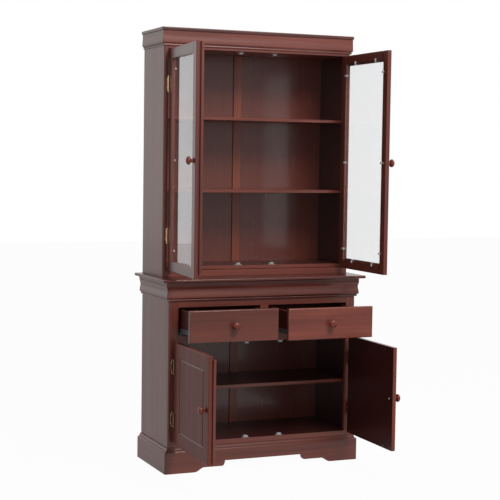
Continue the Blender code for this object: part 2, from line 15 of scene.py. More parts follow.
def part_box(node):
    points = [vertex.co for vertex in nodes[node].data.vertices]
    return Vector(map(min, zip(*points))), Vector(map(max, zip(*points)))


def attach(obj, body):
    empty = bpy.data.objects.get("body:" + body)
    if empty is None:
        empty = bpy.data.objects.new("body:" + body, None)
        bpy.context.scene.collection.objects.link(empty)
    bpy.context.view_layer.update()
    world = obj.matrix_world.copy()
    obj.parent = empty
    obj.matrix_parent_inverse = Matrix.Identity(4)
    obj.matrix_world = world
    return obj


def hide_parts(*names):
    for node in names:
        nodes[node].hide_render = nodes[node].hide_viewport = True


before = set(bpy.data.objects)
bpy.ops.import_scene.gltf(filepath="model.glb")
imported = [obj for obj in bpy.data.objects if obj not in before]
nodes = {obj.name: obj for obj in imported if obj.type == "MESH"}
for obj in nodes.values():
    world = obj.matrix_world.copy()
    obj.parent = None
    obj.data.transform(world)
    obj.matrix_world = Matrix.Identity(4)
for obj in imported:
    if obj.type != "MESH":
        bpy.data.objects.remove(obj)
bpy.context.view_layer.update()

# %% [markdown]
# ## The planes that everything is set from
# A cabinet maker marks out from a few faces: the ends, the two fronts and the back.
# They could be typed in again, but reading them from the boards keeps the pieces on their carriers.

# %% Mark out
SIDES = {"left": -1, "right": 1}
GAP = 0.0003                      # the space left between two pieces that touch
UP = Vector((0, 0, 1))
HALF_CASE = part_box("base_stile_right")[1].x
OPENING_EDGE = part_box("base_stile_right")[0].x
BASE_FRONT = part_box("base_stile_right")[0].y
HUTCH_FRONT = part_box("hutch_side_right")[0].y
BACK_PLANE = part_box("hutch_side_right")[1].y
HUTCH_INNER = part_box("hutch_side_right")[0].x
print("ends at", round(HALF_CASE, 4), "fronts at", round(BASE_FRONT, 4), "and", round(HUTCH_FRONT, 4))

# %% [markdown]
# ## Opening a piece and picking its edges
# On the bench one edge is planed at a time, and an edge is found by where it is.
# In Blender that is edit mode with a selection. Clicking isn't possible here, so a test on the
# place of each vertex, edge or face does the clicking.

# %% Pick and open
def deselect():
    """Nothing selected, as the loaded nodes would otherwise be worked on too."""
    bpy.ops.object.select_all(action="DESELECT")


def take(piece):
    """Makes one piece the only selected and active one."""
    deselect()
    piece.select_set(True)
    bpy.context.view_layer.objects.active = piece
    return piece


def open_piece(piece):
    """Edit mode on one piece, nothing picked."""
    take(piece)
    bpy.ops.object.mode_set(mode="EDIT")
    bpy.ops.mesh.select_all(action="DESELECT")


def close_piece():
    """Back to object mode."""
    bpy.ops.object.mode_set(mode="OBJECT")
    return bpy.context.object


def pick(kind, test):
    """Selects the vertices, edges or faces that pass a test."""
    bpy.ops.mesh.select_mode(type=kind)
    bpy.ops.mesh.select_all(action="DESELECT")
    mesh = bmesh.from_edit_mesh(bpy.context.edit_object.data)
    items = {"VERT": mesh.verts, "EDGE": mesh.edges, "FACE": mesh.faces}[kind]
    chosen = [item for item in items if test(item)]
    for item in chosen:
        item.select_set(True)
    mesh.select_flush_mode()
    bmesh.update_edit_mesh(bpy.context.edit_object.data)
    return len(chosen)


def both_at(axis, value, near=1e-4):
    """A test: both ends of an edge lie at one value along X, Y or Z."""
    return lambda edge: all(abs(vert.co["xyz".index(axis)] - value) < near for vert in edge.verts)


deselect()
print("ready to pick")

# %% [markdown]
# ## Boards
# Most of the cabinet is planed board with its arrises just broken by sandpaper.
# A bevel modifier would do it, but the bevel tool lets some edges be rounded far more than others,
# which is how the stiles and slabs of this cabinet are made.

# %% Planed boards
def round_over(piece, test, radius, steps=5):
    """Rounds the edges that pass a test."""
    open_piece(piece)
    found = pick("EDGE", test)
    if found:
        bpy.ops.mesh.bevel(offset=radius, segments=steps, affect="EDGES")
    return close_piece()


def break_arrises(piece, amount=0.0007, steps=2):
    """Breaks every sharp edge that is left."""
    open_piece(piece)
    bpy.ops.mesh.select_mode(type="EDGE")
    bpy.ops.mesh.edges_select_sharp(sharpness=math.radians(50))
    bpy.ops.mesh.bevel(offset=amount, segments=steps, affect="EDGES")
    return close_piece()


def plank(name, low, high):
    """A square board between two corners."""
    low, high = Vector(low), Vector(high)
    bpy.ops.mesh.primitive_cube_add(size=1, location=(low + high) / 2, scale=high - low)
    piece = bpy.context.object
    piece.name = name
    bpy.ops.object.transform_apply(location=True, rotation=True, scale=True)
    return piece


def across(side, inner, outer):
    """The lower and the upper X of a span that is given from the middle outwards."""
    return min(side * inner, side * outer), max(side * inner, side * outer)


# %% [markdown]
# ## Runs of moulding
# A moulding is one outline pushed along its length and sawn at both ends, mitred at the corners.
# A curve with a bevel object could carry the outline, but a filled circle primitive whose points
# are moved onto the outline and extruded gives a closed solid that bisect can saw like a mitre box.

# %% Outlines, pushed and sawn
def arc(centre, radii, start, end, steps):
    """Points along an elliptical arc, angles in degrees."""
    turns = [math.radians(start + (end - start) * step / steps) for step in range(steps + 1)]
    return [(centre[0] + radii[0] * math.cos(turn), centre[1] + radii[1] * math.sin(turn))
            for turn in turns]


def double_curve(low, high, steps=9):
    """Points of a smooth double curve between two points of an outline."""
    shares = [step / steps for step in range(steps + 1)]
    return [(low[0] + (high[0] - low[0]) * (1 - math.cos(math.pi * share)) / 2,
             low[1] + (high[1] - low[1]) * share) for share in shares]


def lay_out(name, outline, fill):
    """A new piece with one closed outline of points in space, all picked, still open."""
    bpy.ops.mesh.primitive_circle_add(vertices=len(outline), radius=0.01, fill_type=fill)
    piece = bpy.context.object
    piece.name = name
    bpy.ops.object.mode_set(mode="EDIT")
    mesh = bmesh.from_edit_mesh(piece.data)
    for vert, place in zip(mesh.verts, outline):
        vert.co = place
    bmesh.update_edit_mesh(piece.data)
    bpy.ops.mesh.select_all(action="SELECT")


def run(name, outline, push, saws=()):
    """Fills a closed outline, pushes it along, and saws off what lies behind each
    (point, normal) plane."""
    lay_out(name, outline, "NGON")
    bpy.ops.mesh.extrude_region_move(TRANSFORM_OT_translate={"value": push})
    for point, normal in saws:
        bpy.ops.mesh.select_all(action="SELECT")
        bpy.ops.mesh.bisect(plane_co=point, plane_no=normal, use_fill=True, clear_inner=True)
    bpy.ops.mesh.select_all(action="SELECT")
    bpy.ops.mesh.normals_make_consistent(inside=False)
    return close_piece()

# %% [markdown]
# ## Placing a piece and cutting with another
# A finished piece keeps its place in its mesh, as the boards of the frame do, so every move is applied
# at once. Where a shape has to come out of a board, a second solid is the tool. Faces could be cut one
# by one, but the boolean modifier takes the whole tool away and leaves the board closed.

# %% Place and cut
def put(piece, place):
    """Moves a piece by a matrix, into its mesh."""
    take(piece)
    piece.matrix_world = place
    bpy.ops.object.transform_apply(location=True, rotation=True, scale=True)
    return piece


def cut_out(piece, tool):
    """Takes the shape of a tool out of a piece and puts the tool away."""
    cut = piece.modifiers.new("cut", "BOOLEAN")
    cut.operation, cut.object, cut.solver = "DIFFERENCE", tool, "EXACT"
    take(piece)
    bpy.ops.object.modifier_apply(modifier=cut.name)
    bpy.data.objects.remove(tool, do_unlink=True)
    return piece


print("ready to place and cut")

# %% [markdown]
# ## Shader maths as plain sums
# A finish is a recipe: so much of one pattern, a little of another. Node by node that is hard to read,
# so one small class wraps a socket and turns + - * / into Math nodes.

# %% One class for the recipes
class Shade:
    """A socket of a material's tree that can be added, multiplied and joined to other nodes."""

    def __init__(self, tree, socket=None):
        self.tree, self.socket = tree, socket

    def node(self, kind, settings=None, inputs=None, output=0):
        """Adds any node: its settings first, then values or links for its sockets."""
        made = self.tree.nodes.new(kind)
        for key, value in (settings or {}).items():
            if key == "stops":
                ramp = made.color_ramp
                while len(ramp.elements) < len(value):
                    ramp.elements.new(1.0)
                for stop, (place, level) in zip(ramp.elements, value):
                    stop.position, stop.color = place, (level, level, level, 1)
            else:
                setattr(made, key, value)
        for key, value in (inputs or {}).items():
            if isinstance(value, Shade):
                self.tree.links.new(value.socket, made.inputs[key])
            else:
                made.inputs[key].default_value = value
        return Shade(self.tree, made.outputs[output])

    def sum(self, operation, first, second):
        return self.node("ShaderNodeMath", {"operation": operation}, {0: first, 1: second})

    def __add__(self, other):
        return self.sum("ADD", self, other)

    __radd__ = __add__

    def __sub__(self, other):
        return self.sum("SUBTRACT", self, other)

    def __rsub__(self, other):
        return self.sum("SUBTRACT", other, self)

    def __mul__(self, other):
        return self.sum("MULTIPLY", self, other)

    __rmul__ = __mul__

    def mix(self, first, second):
        """Two colours mixed by this value."""
        return self.node("ShaderNodeMix", {"data_type": "RGBA"}, {0: self, 6: first, 7: second}, 2)

    def steps(self, *stops):
        """This value through a grey ramp of (place, level) stops."""
        return self.node("ShaderNodeValToRGB", {"stops": stops}, {0: self})


def new_finish(name, **constants):
    """A material, a start for its recipe, and its shader with the constant sockets set."""
    material = bpy.data.materials.new(name)
    material.use_nodes = True
    shader = material.node_tree.nodes["Principled BSDF"]
    for key, value in constants.items():
        shader.inputs[key.replace("_", " ")].default_value = value
    return material, Shade(material.node_tree), shader


def feed(shade, shader, socket):
    """Links a recipe to one socket of the shader."""
    shade.tree.links.new(shade.socket, shader.inputs[socket])


# %% [markdown]
# ## Stained and lacquered wood
# The cabinet is a plain close-grained wood under a dark red-brown stain and a satin-gloss lacquer.
# The grain hardly shows: long soft streaks, fine fibres and a slow change of tone from board to board.
# A picture of wood would repeat and slide on turned doors. Noise stretched along the fibres is made in
# the board's own space, so each board gets its grain along its length and the doors keep theirs open.

# %% Wood finish
DARK_STAIN = (0.083, 0.0160, 0.0122, 1)
LIGHT_STAIN = (0.212, 0.0490, 0.0285, 1)
# The darker inside colour is painted shade, standing in for the shade inside the case.
INSIDE_SHADE_COLOUR = (0.048, 0.0110, 0.0090, 1)


def stained(name, grain, turn=0.0, shift=0.0, dark=DARK_STAIN, light=LIGHT_STAIN, gloss=0.36, coat=0.20,
            inner=None, rubbed=None, **constants):
    """Lacquered wood with its grain along x, y or z of a piece that stands turned by some degrees.
    Inner, an axis and two places on it, says where the painted shade of the inside begins: a darker colour
    that stands in for shade inside the case.
    Rubbed is the Y of a face that was rubbed down to a satin, while its edges keep their gloss."""
    material, start, shader = new_finish(name, Coat_Weight=coat, Coat_Roughness=0.12, **constants)
    place = start.node("ShaderNodeTexCoord", output="Object")
    own = start.node("ShaderNodeMapping", {}, {"Vector": place, "Rotation": (0, 0, -math.radians(turn))})
    moved = start.node("ShaderNodeVectorMath", {"operation": "ADD"},
                       {0: own, 1: (shift, shift * 1.7, shift * 2.3)})
    along = ["x", "y", "z"].index(grain)

    def fibres(cross, length, detail, bend=0.0):
        """Noise with so many cells a metre across the fibres and along them."""
        stretch = [cross] * 3
        stretch[along] = length
        drawn = start.node("ShaderNodeVectorMath", {"operation": "MULTIPLY"}, {0: moved, 1: stretch})
        return start.node("ShaderNodeTexNoise", {}, {"Vector": drawn, "Scale": 1.0, "Detail": detail,
                                                     "Distortion": bend})

    def past(axis, low, high, most=1.0):
        """0 before one place on an axis of the board, and most from another on."""
        depth = start.node("ShaderNodeSeparateXYZ", {}, {0: own}, axis)
        return start.node("ShaderNodeMapRange", {}, {"Value": depth, "From Min": low, "From Max": high,
                                                     "To Max": most})

    figure = fibres(16, 1.1, 2.0, 0.6)
    streaks = fibres(110, 2.6, 3.0)
    threads = fibres(700, 14, 2.0)
    pores = fibres(1500, 75, 1.0).steps((0.62, 0.0), (0.74, 1.0))
    tone = (figure - 0.5) * 1.5 + (streaks - 0.5) * 0.6 + (threads - 0.5) * 0.35 + 0.5 - pores * 0.14
    colour = tone.node("ShaderNodeClamp", {}, {0: tone}).mix(dark, light)
    # Painted shade: past a place on one axis the colour turns to the darker inside colour.
    if inner:
        colour = past(*inner).mix(colour, INSIDE_SHADE_COLOUR)
    if rubbed is not None:
        feed(past("Y", rubbed + 0.0002, rubbed + 0.0010, 0.35), shader, "Coat Weight")
    feed(colour, shader, "Base Color")
    feed((streaks - 0.5) * 0.06 + (threads - 0.5) * 0.06 + gloss, shader, "Roughness")
    relief = threads * 0.6 + streaks * 0.6 - pores * 0.5
    bump = relief.node("ShaderNodeBump", {}, {"Strength": 0.03, "Distance": 0.0006, "Height": relief})
    feed(bump, shader, "Normal")
    return material


upright_wood = stained("upright_wood", "z")
cross_wood = stained("cross_wood", "x", shift=3.1)
return_wood = stained("return_wood", "y", shift=5.3)
print("finishes:", upright_wood.name, cross_wood.name, return_wood.name)

# %% [markdown]
# ## Handing a piece over
# Each finished piece is fixed to a body, gets its finish, and may stand for nodes of the frame.
# Smooth shading with weighted normals keeps the wide faces flat and lets only the narrow rounds catch the
# light.

# %% Finish and fix a piece
def fix(piece, finish, body, slot, *stands_for):
    """Shades, finishes and fixes a piece."""
    take(piece)
    bpy.ops.object.transform_apply(location=True, rotation=True, scale=True)
    bpy.ops.object.shade_smooth_by_angle(angle=math.radians(38))
    weighted = piece.modifiers.new("weighted", "WEIGHTED_NORMAL")
    weighted.keep_sharp = True
    bpy.ops.object.modifier_apply(modifier=weighted.name)
    piece.data.materials.clear()
    piece.data.materials.append(finish)
    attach(piece, body)
    if stands_for:
        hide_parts(*stands_for)
    return piece


def dress(finish, *names):
    """Gives nodes of the frame, whose shape is already right, their finish."""
    for name in names:
        node = nodes[name]
        node.data.materials.clear()
        node.data.materials.append(finish)


# %% [markdown]
# ## Boards that stay as they are
# Sides, rails, shelves, floors and back boards are plain boards in the frame too.
# Modelling them again would change nothing, so they only get wood with the grain along each board.
# Ends and floors turn darker a little way in: painted shade of the inside, standing in for the shade inside
# the case.

# %% Dress the plain boards
INSIDE_SHADE_FROM, INSIDE_SHADE_TO = 0.4246, 0.4239       # from the middle: where the painted shade of the inside starts on the ends
back_wood = stained("back_wood", "z", shift=7.7, dark=(0.122, 0.0280, 0.0185, 1),
                    light=(0.142, 0.0345, 0.0235, 1), gloss=0.26, coat=0.45)
shelf_wood = stained("shelf_wood", "x", shift=9.1)
end_wood = {}
# The inner faces of the ends turn to the painted shade of the inside.
for word, side in SIDES.items():
    end_wood[word] = stained(f"end_{word}_wood", "z", shift=2.2 + side,
                             inner=("X", side * INSIDE_SHADE_FROM, side * INSIDE_SHADE_TO))
    dress(end_wood[word], f"base_side_{word}")
dress(cross_wood, "base_top_rail", "base_mid_rail", "hutch_bottom_rail", "plinth_rear_rail",
      "hutch_ceiling")
dress(shelf_wood, "hutch_shelf_lower", "hutch_shelf_upper")
# Floors turn to the painted shade of the inside just behind their front edges.
for name in ("base_floor", "base_shelf", "hutch_floor"):
    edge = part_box(name)[0].y
    dress(stained(f"{name}_wood", "x", shift=10.2, inner=("Y", edge, edge + 0.003)), name)
dress(stained("divider_wood", "z", shift=11.3), "drawer_divider")
dress(back_wood, "base_back_panel", "hutch_back_panel")
muntin_wood = stained("muntin_wood", "z", shift=13.9, dark=(0.150, 0.0290, 0.0130, 1),
                      light=(0.260, 0.0610, 0.0300, 1))
dress(muntin_wood, "base_back_muntin", "hutch_back_muntin")
print("plain boards dressed, ends in", [finish.name for finish in end_wood.values()])

# %% [markdown]
# ## Crown, frieze and plinth
# Three mouldings run round the front and both ends: the crown under the top board, the deep frieze
# under the counter slab and the plinth on the floor. Each is a front length and two returns with
# mitred corners, which are then rounded a little, as sandpaper leaves them. Nine separate outlines could
# be drawn, but one outline a moulding, pushed and sawn three times, gives all nine strips.

# %% Three outlines
PLINTH_REACH = 0.0168             # how far the plinth stands out from the case


def bead_outline(height, reach):
    """(reach, height) points of a half-round bead at the foot of a moulding."""
    return arc((0.0015, height / 2), (reach - 0.0015, height / 2), -90, 90, 10)


def crown_outline(top):
    """A bead, a swell over it and a plain band up to the top board."""
    rise = double_curve((0.0055, 0.0092), (0.0098, 0.0160))
    fall = double_curve((0.0098, 0.0170), (0.0080, 0.0500), 12)
    return [(0, 0)] + bead_outline(0.0090, 0.0045) + rise + fall + [(0.0080, top), (0, top)]


def frieze_outline(top):
    """A bead, a long swell that draws in and out again, a narrow groove and a lip under the slab."""
    rise = double_curve((0.0085, 0.0092), (0.0126, 0.0140))
    fall = double_curve((0.0126, 0.0170), (0.0092, 0.0440), 12)
    climb = double_curve((0.0092, 0.0470), (0.0136, 0.0655), 8)
    groove = [(0.0122, 0.0664), (0.0122, 0.0672)]
    lip = arc((0.0170, 0.0676), (0.0026, top - 0.0676), 180, 90, 6)
    return [(0, 0)] + bead_outline(0.0090, 0.0070) + rise + fall + climb + groove + lip + [(0, top)]


def plinth_outline(top):
    """A flat board, rounded over to a small hollow against the case."""
    rounded = arc((0.0105, 0.0872), (0.0063, 0.0093), 0, 90, 8)
    hollow = double_curve((0.0080, 0.0968), (0.0040, top), 8)
    return [(0, 0), (PLINTH_REACH, 0)] + rounded + hollow + [(0, top)]


print("a plinth outline has", len(plinth_outline(0.1)), "points")

# %% Nine strips
OVERLENGTH, RETURN_OVER = 0.02, 0.03        # what front strips and returns are too long by before sawing
UNDER_TOP = 0.013                 # the part of an outline that the rounding of the corner is not set by


def rounding(side, end, face, reach, radius):
    """Saw planes that round the mitred corner of a moulding wherever it reaches this far out."""
    centre = Vector((side * (end + reach - radius), face - reach + radius, 0))
    planes = []
    for turn in (22.5, 45, 67.5):
        look = Vector((side * math.sin(math.radians(turn)), -math.cos(math.radians(turn)), 0))
        planes.append((centre + look * radius, -look))
    return planes


def mouldings(name, node, outline, front, radius):
    """Front strip and both returns of one moulding, mitred and then rounded at the corners."""
    foot, top = (corner.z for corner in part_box(f"{node}_front"))
    profile = outline(top - foot)
    face = front - GAP
    end = HALF_CASE + GAP
    widest = max(reach for reach, height in profile if height < top - foot - UNDER_TOP)
    places = [(-end - OVERLENGTH, face - reach, foot + height) for reach, height in profile]
    saws = [((side * end, face, 0), (-side, -1, 0)) for side in SIDES.values()]
    for side in SIDES.values():
        saws += rounding(side, end, face, widest, radius)[:2]
    made = [run(f"{name}_front_strip", places, (2 * end + 2 * OVERLENGTH, 0, 0), saws)]
    for word, side in SIDES.items():
        places = [(side * (end + reach), BACK_PLANE, foot + height) for reach, height in profile]
        mitre = ((side * end, face + GAP * math.sqrt(2), 0), (side, 1, 0))
        saws = [mitre] + rounding(side, end, face, widest, radius)[1:]
        made.append(run(f"{name}_{word}_strip", places, (0, front - RETURN_OVER - BACK_PLANE, 0), saws))
    return made


crown = mouldings("crown", "crown", crown_outline, HUTCH_FRONT, 0.005)
frieze = mouldings("frieze", "base_frieze", frieze_outline, BASE_FRONT, 0.006)
plinth = mouldings("plinth", "plinth", plinth_outline, BASE_FRONT, 0.010)
print([round(strip.dimensions.z, 4) for strip in crown + frieze + plinth])

# %% [markdown]
# ## The feet
# The plinth front isn't a straight board: it is sawn away between two bracket feet, each with a small
# double curve, a level tongue and a quarter round up to the apron.
# Extruding feet downwards would need the moulding twice, so the space between them is cut out instead.

# %% Saw out the apron
SOLE_LENGTH = 0.1359                        # the level sole of each foot, from the plinth's outer face
OGEE_LENGTH, OGEE_RISE = 0.044, 0.019       # the double curve from the sole up to the tongue
ROUND_BACK, ROUND_HIGH = 0.127, 0.0425      # the middle of the quarter round, from the sole's end
sole = HALF_CASE + GAP + PLINTH_REACH - SOLE_LENGTH
ogee = [(sole - OGEE_LENGTH * step / 12, OGEE_RISE * (1 - math.cos(math.pi * step / 12)) / 2)
        for step in range(12)]
round_up = arc((sole - ROUND_BACK, ROUND_HIGH), (0.013, 0.0235), -90, -180, 10)
half = [(sole, -0.01)] + ogee + [(sole - OGEE_LENGTH, OGEE_RISE)] + round_up
apron = half + [(-x, z) for x, z in reversed(half)]
cut_out(plinth[0], run("apron_saw", [(x, BASE_FRONT - 0.03, z) for x, z in apron], (0, 0.045, 0)))
print("plinth front has", len(plinth[0].data.polygons), "faces")

# %% Fix the mouldings
for name, strips in (("crown", crown), ("base_frieze", frieze), ("plinth", plinth)):
    for word, strip in zip(("front", "left", "right"), strips):
        wood = cross_wood if word == "front" else return_wood
        fix(strip, wood, "case", "case_wood", f"{name}_{word}")
print("nine strips fixed")

# %% [markdown]
# ## Slab and top board
# The counter slab has a small full round on its front and ends and softly rounded corners in plan.
# The top board is the same with a finer nose. Both are stained a little darker than the mouldings.
# A plain box bevel would round the back too, which on the real cabinet is sawn square to stand against
# the wall, so only the other edges are picked.

# %% Rounded boards
board_wood = stained("board_wood", "x", shift=8.3, dark=(0.058, 0.0112, 0.0092, 1),
                     light=(0.150, 0.0350, 0.0215, 1))


def nosed(name, node, corner, nose):
    """A board whose front corners are rounded in plan and whose edges are nosed, but for the back."""
    low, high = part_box(node)
    piece = plank(name, low, high)
    upright = lambda edge: both_at("y", low.y)(edge) and both_at("x", edge.verts[0].co.x)(edge)
    round_over(piece, upright, corner, 6)
    level = lambda edge: both_at("z", low.z)(edge) or both_at("z", high.z)(edge)
    round_over(piece, lambda edge: level(edge) and not both_at("y", high.y)(edge), nose, 4)
    return fix(piece, board_wood, "case", "case_wood", node)


slab = nosed("counter_slab", "base_top_slab", 0.006, 0.004)
top_board = nosed("top_board", "hutch_top_board", 0.004, 0.003)
print("slab", len(slab.data.polygons), "faces, top board", len(top_board.data.polygons), "faces")

# %% [markdown]
# ## Stiles and upper ends
# The face frame's two stiles and the ends of the upper case have a bold round on their outer front
# arris, which draws the light line down both sides. The ends stop behind the bottom rail, so their
# lower front corner is sawn out. One bevel on the whole piece would round its inner arris as much, so
# the outer one is picked alone.

# %% Rounded uprights
def round_front(piece, side, front):
    """Rounds the outer front arris of an upright."""
    outer = lambda edge: both_at("y", front)(edge) and both_at("x", side * HALF_CASE)(edge)
    return round_over(piece, outer, 0.007, 8)


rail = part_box("hutch_bottom_rail")[1]
for word, side in SIDES.items():
    low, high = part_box(f"base_stile_{word}")
    stile = round_front(plank(f"stile_{word}", low, high), side, low.y)
    fix(break_arrises(stile), upright_wood, "case", "case_wood", f"base_stile_{word}")
for word, side in SIDES.items():
    low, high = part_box(f"hutch_side_{word}")
    end = round_front(plank(f"upper_end_{word}", low, high), side, low.y)
    notch = plank("rail_notch", (low.x - 0.01, low.y - 0.01, low.z - 0.01),
                  (high.x + 0.01, rail.y + GAP, rail.z + GAP))
    fix(cut_out(end, notch), end_wood[word], "case", "case_wood", f"hutch_side_{word}")
print("stiles and ends rounded")

# %% [markdown]
# ## Hanging a door
# Every door is made shut, flat against its case, where its sizes are simple, and is then hung open.
# The hinge line and the angle at rest are the ones of the frame, so the door still swings about its pins.
# Rotating the object would leave a turned object behind, so its turn is applied to the mesh.

# %% Hinge lines
OPEN = {"hutch_door_left": 95.0, "hutch_door_right": 90.0, "base_door_left": 91.4, "base_door_right": 89.4}
PIN = 0.0038                      # from the face of a door to its hinge line
PIN_OUT = 0.0257                  # from the edge of the lower opening to the hinge line
LEAF_THICK = 0.018
LEAF_BACK = BASE_FRONT - GAP
LEAF_FACE = LEAF_BACK - LEAF_THICK


class Door:
    """A door's hinge line, its side of the cabinet and how far it is turned at rest, in degrees."""

    def __init__(self, body, side, hinge_x, hinge_y):
        self.body, self.side = body, side
        self.pin = Vector((side * hinge_x, hinge_y, 0))
        self.turn = side * OPEN[body]

    def hang(self, piece):
        """Swings a piece that was made shut to where the door stands."""
        swing = Matrix.Rotation(math.radians(self.turn), 4, "Z")
        take(piece)
        return put(piece, Matrix.Translation(self.pin) @ swing @ Matrix.Translation(-self.pin)
                   @ piece.matrix_world)


upper_doors = {word: Door(f"hutch_door_{word}", side, HUTCH_INNER, HUTCH_FRONT - PIN)
               for word, side in SIDES.items()}
lower_doors = {word: Door(f"base_door_{word}", side, OPENING_EDGE + PIN_OUT, LEAF_FACE - PIN)
               for word, side in SIDES.items()}
print({door.body: door.turn for door in [*upper_doors.values(), *lower_doors.values()]})

# %% [markdown]
# ## Wood for the doors
# A door's boards were stained before it was hung, so their grain has to turn with the door.
# The pattern could be laid on UV maps, but turning its coordinates back by the door's angle does the same
# for every board of a door at once. The lower leaves are satin in front and turn darker behind: painted
# shade of the inside, standing in for the shade behind the doors.

# %% Door finishes
door_upright, door_cross = {}, {}
for number, door in enumerate(upper_doors.values()):
    door_upright[door.body] = stained(f"{door.body}_upright", "z", door.turn, 15 + 2.7 * number)
    door_cross[door.body] = stained(f"{door.body}_cross", "x", door.turn, 31 + 1.9 * number)
for number, door in enumerate(lower_doors.values()):
    # Behind its front face each leaf turns to the painted shade of the inside.
    face = (Matrix.Rotation(-math.radians(door.turn), 4, "Z") @ door.pin).y + PIN
    door_upright[door.body] = stained(f"{door.body}_upright", "z", door.turn, 23 + 2.7 * number,
                                      gloss=0.40, rubbed=face, inner=("Y", face + 0.0170, face + 0.0178),
                                      Specular_IOR_Level=0.15)
print(len(door_upright) + len(door_cross), "woods for four doors")

# %% [markdown]
# ## Upper doors: stiles and rails
# A glazed door is two stiles and two rails, 45 mm wide, rounded on the outer arris, with a rebate
# behind for the pane. One plank with a window cut in it would have its grain wrong on the rails.
# So each member is an outline with the rebate in it, pushed to length, and the ends are rounded after.

# %% Stiles and rails
DOOR_LOW, DOOR_HIGH = 0.8625, 1.8095
DOOR_EDGE, DOOR_FREE = HUTCH_INNER - 0.0013, 0.0015         # hinge edge and free edge, from the middle
DOOR_BACK = HUTCH_FRONT + 0.019
MEMBER, REBATE, SEAT = 0.045, 0.007, 0.008                  # width, and the rebate's width and depth
HAIR = 0.0001                                               # the joint line between glued boards


def member_outline(outer=0.004, inner=0.0016):
    """(across, depth) from the outer edge of a member to its rebate."""
    outer_round = arc((outer, outer), (outer, outer), 180, 270, 6)
    inner_round = arc((MEMBER - inner, inner), (inner, inner), 270, 360, 3)
    thick = DOOR_BACK - HUTCH_FRONT
    rebate = [(MEMBER, thick - SEAT), (MEMBER - REBATE, thick - SEAT), (MEMBER - REBATE, thick)]
    return [(0, thick)] + outer_round + inner_round + rebate


def front_end(z):
    """A test: the front edge across one end of a member."""
    return lambda edge: both_at("z", z)(edge) and both_at("y", HUTCH_FRONT)(edge)


for word, door in upper_doors.items():
    side = door.side
    parts = []
    for place, x, inwards in (("hinge", DOOR_EDGE, -1), ("free", DOOR_FREE, 1)):
        outline = [(side * (x + inwards * a), HUTCH_FRONT + d, DOOR_LOW) for a, d in member_outline()]
        stile = run(f"upper_{word}_{place}_stile", outline, (0, 0, DOOR_HIGH - DOOR_LOW))
        round_over(stile, lambda edge: front_end(DOOR_LOW)(edge) or front_end(DOOR_HIGH)(edge), 0.003, 4)
        parts.append((stile, door_upright[door.body]))
    for place, z, inwards in (("bottom", DOOR_LOW, 1), ("top", DOOR_HIGH, -1)):
        low, high = across(side, DOOR_FREE + MEMBER + HAIR, DOOR_EDGE - MEMBER - HAIR)
        outline = [(low, HUTCH_FRONT + d, z + inwards * a) for a, d in member_outline()]
        rail = run(f"upper_{word}_{place}_rail", outline, (high - low, 0, 0))
        parts.append((rail, door_cross[door.body]))
    for piece, finish in parts:
        fix(door.hang(piece), finish, door.body, "door_wood", f"{door.body}_frame")
print("members hung on", [door.body for door in upper_doors.values()])

# %% [markdown]
# ## Stop battens
# The two left doors carry a flat batten behind their free edge, which the right door closes against.
# It is a slim board with its long arrises rounded, glued to the inner face. It could be part of the
# stile's outline, but as a board of its own it keeps its own grain.

# %% Battens
LEAF_FREE = 0.001                 # the lower leaves' free edge, from the middle
BATTEN_OVER, BATTEN_ON = 0.009, 0.016       # past the free edge, and on the door
BATTEN_THICK = 0.0112


def batten(name, door, free, back, low, high):
    """A batten on the back of a shut door, hung with it."""
    x = across(door.side, free - BATTEN_OVER, free + BATTEN_ON)
    strip = plank(name, (x[0], back + HAIR, low), (x[1], back + HAIR + BATTEN_THICK, high))
    glued = both_at("y", back + HAIR)
    round_over(strip, lambda edge: not (both_at("z", edge.verts[0].co.z)(edge) or glued(edge)), 0.002, 3)
    return door.hang(break_arrises(strip, 0.0005))


batten_wood = stained("batten_wood", "z", shift=57.0)
strip = batten("upper_batten", upper_doors["left"], DOOR_FREE, DOOR_BACK, 0.881, 1.808)
fix(strip, batten_wood, "hutch_door_left", "door_wood", "hutch_door_left_frame")
strip = batten("lower_batten", lower_doors["left"], LEAF_FREE, LEAF_BACK, 0.1341, 0.5528)
fix(strip, batten_wood, "base_door_left", "door_wood", "base_door_left_leaf")
print("battens are", round(BATTEN_OVER + BATTEN_ON, 4), "wide")

# %% [markdown]
# ## Panes
# Each upper door holds one pane of clear 4 mm float glass with ground edges. Both faces of the pane
# are modelled, which gives the bright veil that the photograph shows where the left door is seen
# almost edge on.

# %% Glass
def seen(start, *kinds):
    """1 for the kinds of ray that are named, else 0."""
    path = start.node("ShaderNodeLightPath")
    rays = [Shade(start.tree, path.socket.node.outputs[kind]) for kind in kinds]
    total = rays[0]
    for ray in rays[1:]:
        total = total.sum("MAXIMUM", total, ray)
    return total


def clear_glass(name):
    """Polished glass that lets light and shadow rays straight through."""
    material, start, shader = new_finish(name, Transmission_Weight=1.0, Roughness=0.0, IOR=1.50,
                                         Coat_Weight=0.15, Coat_Roughness=0.0)
    shader.inputs["Base Color"].default_value = (0.98, 0.995, 1.0, 1)
    tree = material.node_tree
    shell = Shade(tree, shader.outputs[0])
    clear = start.node("ShaderNodeBsdfTransparent", {}, {"Color": (0.93, 0.95, 0.94, 1)})
    passed = seen(start, "Is Shadow Ray", "Is Diffuse Ray")
    both = start.node("ShaderNodeMixShader", {}, {0: passed, 1: shell, 2: clear})
    tree.links.new(both.socket, tree.nodes["Material Output"].inputs["Surface"])
    return material


pane_glass = clear_glass("pane_glass")
print("glass:", pane_glass.name)

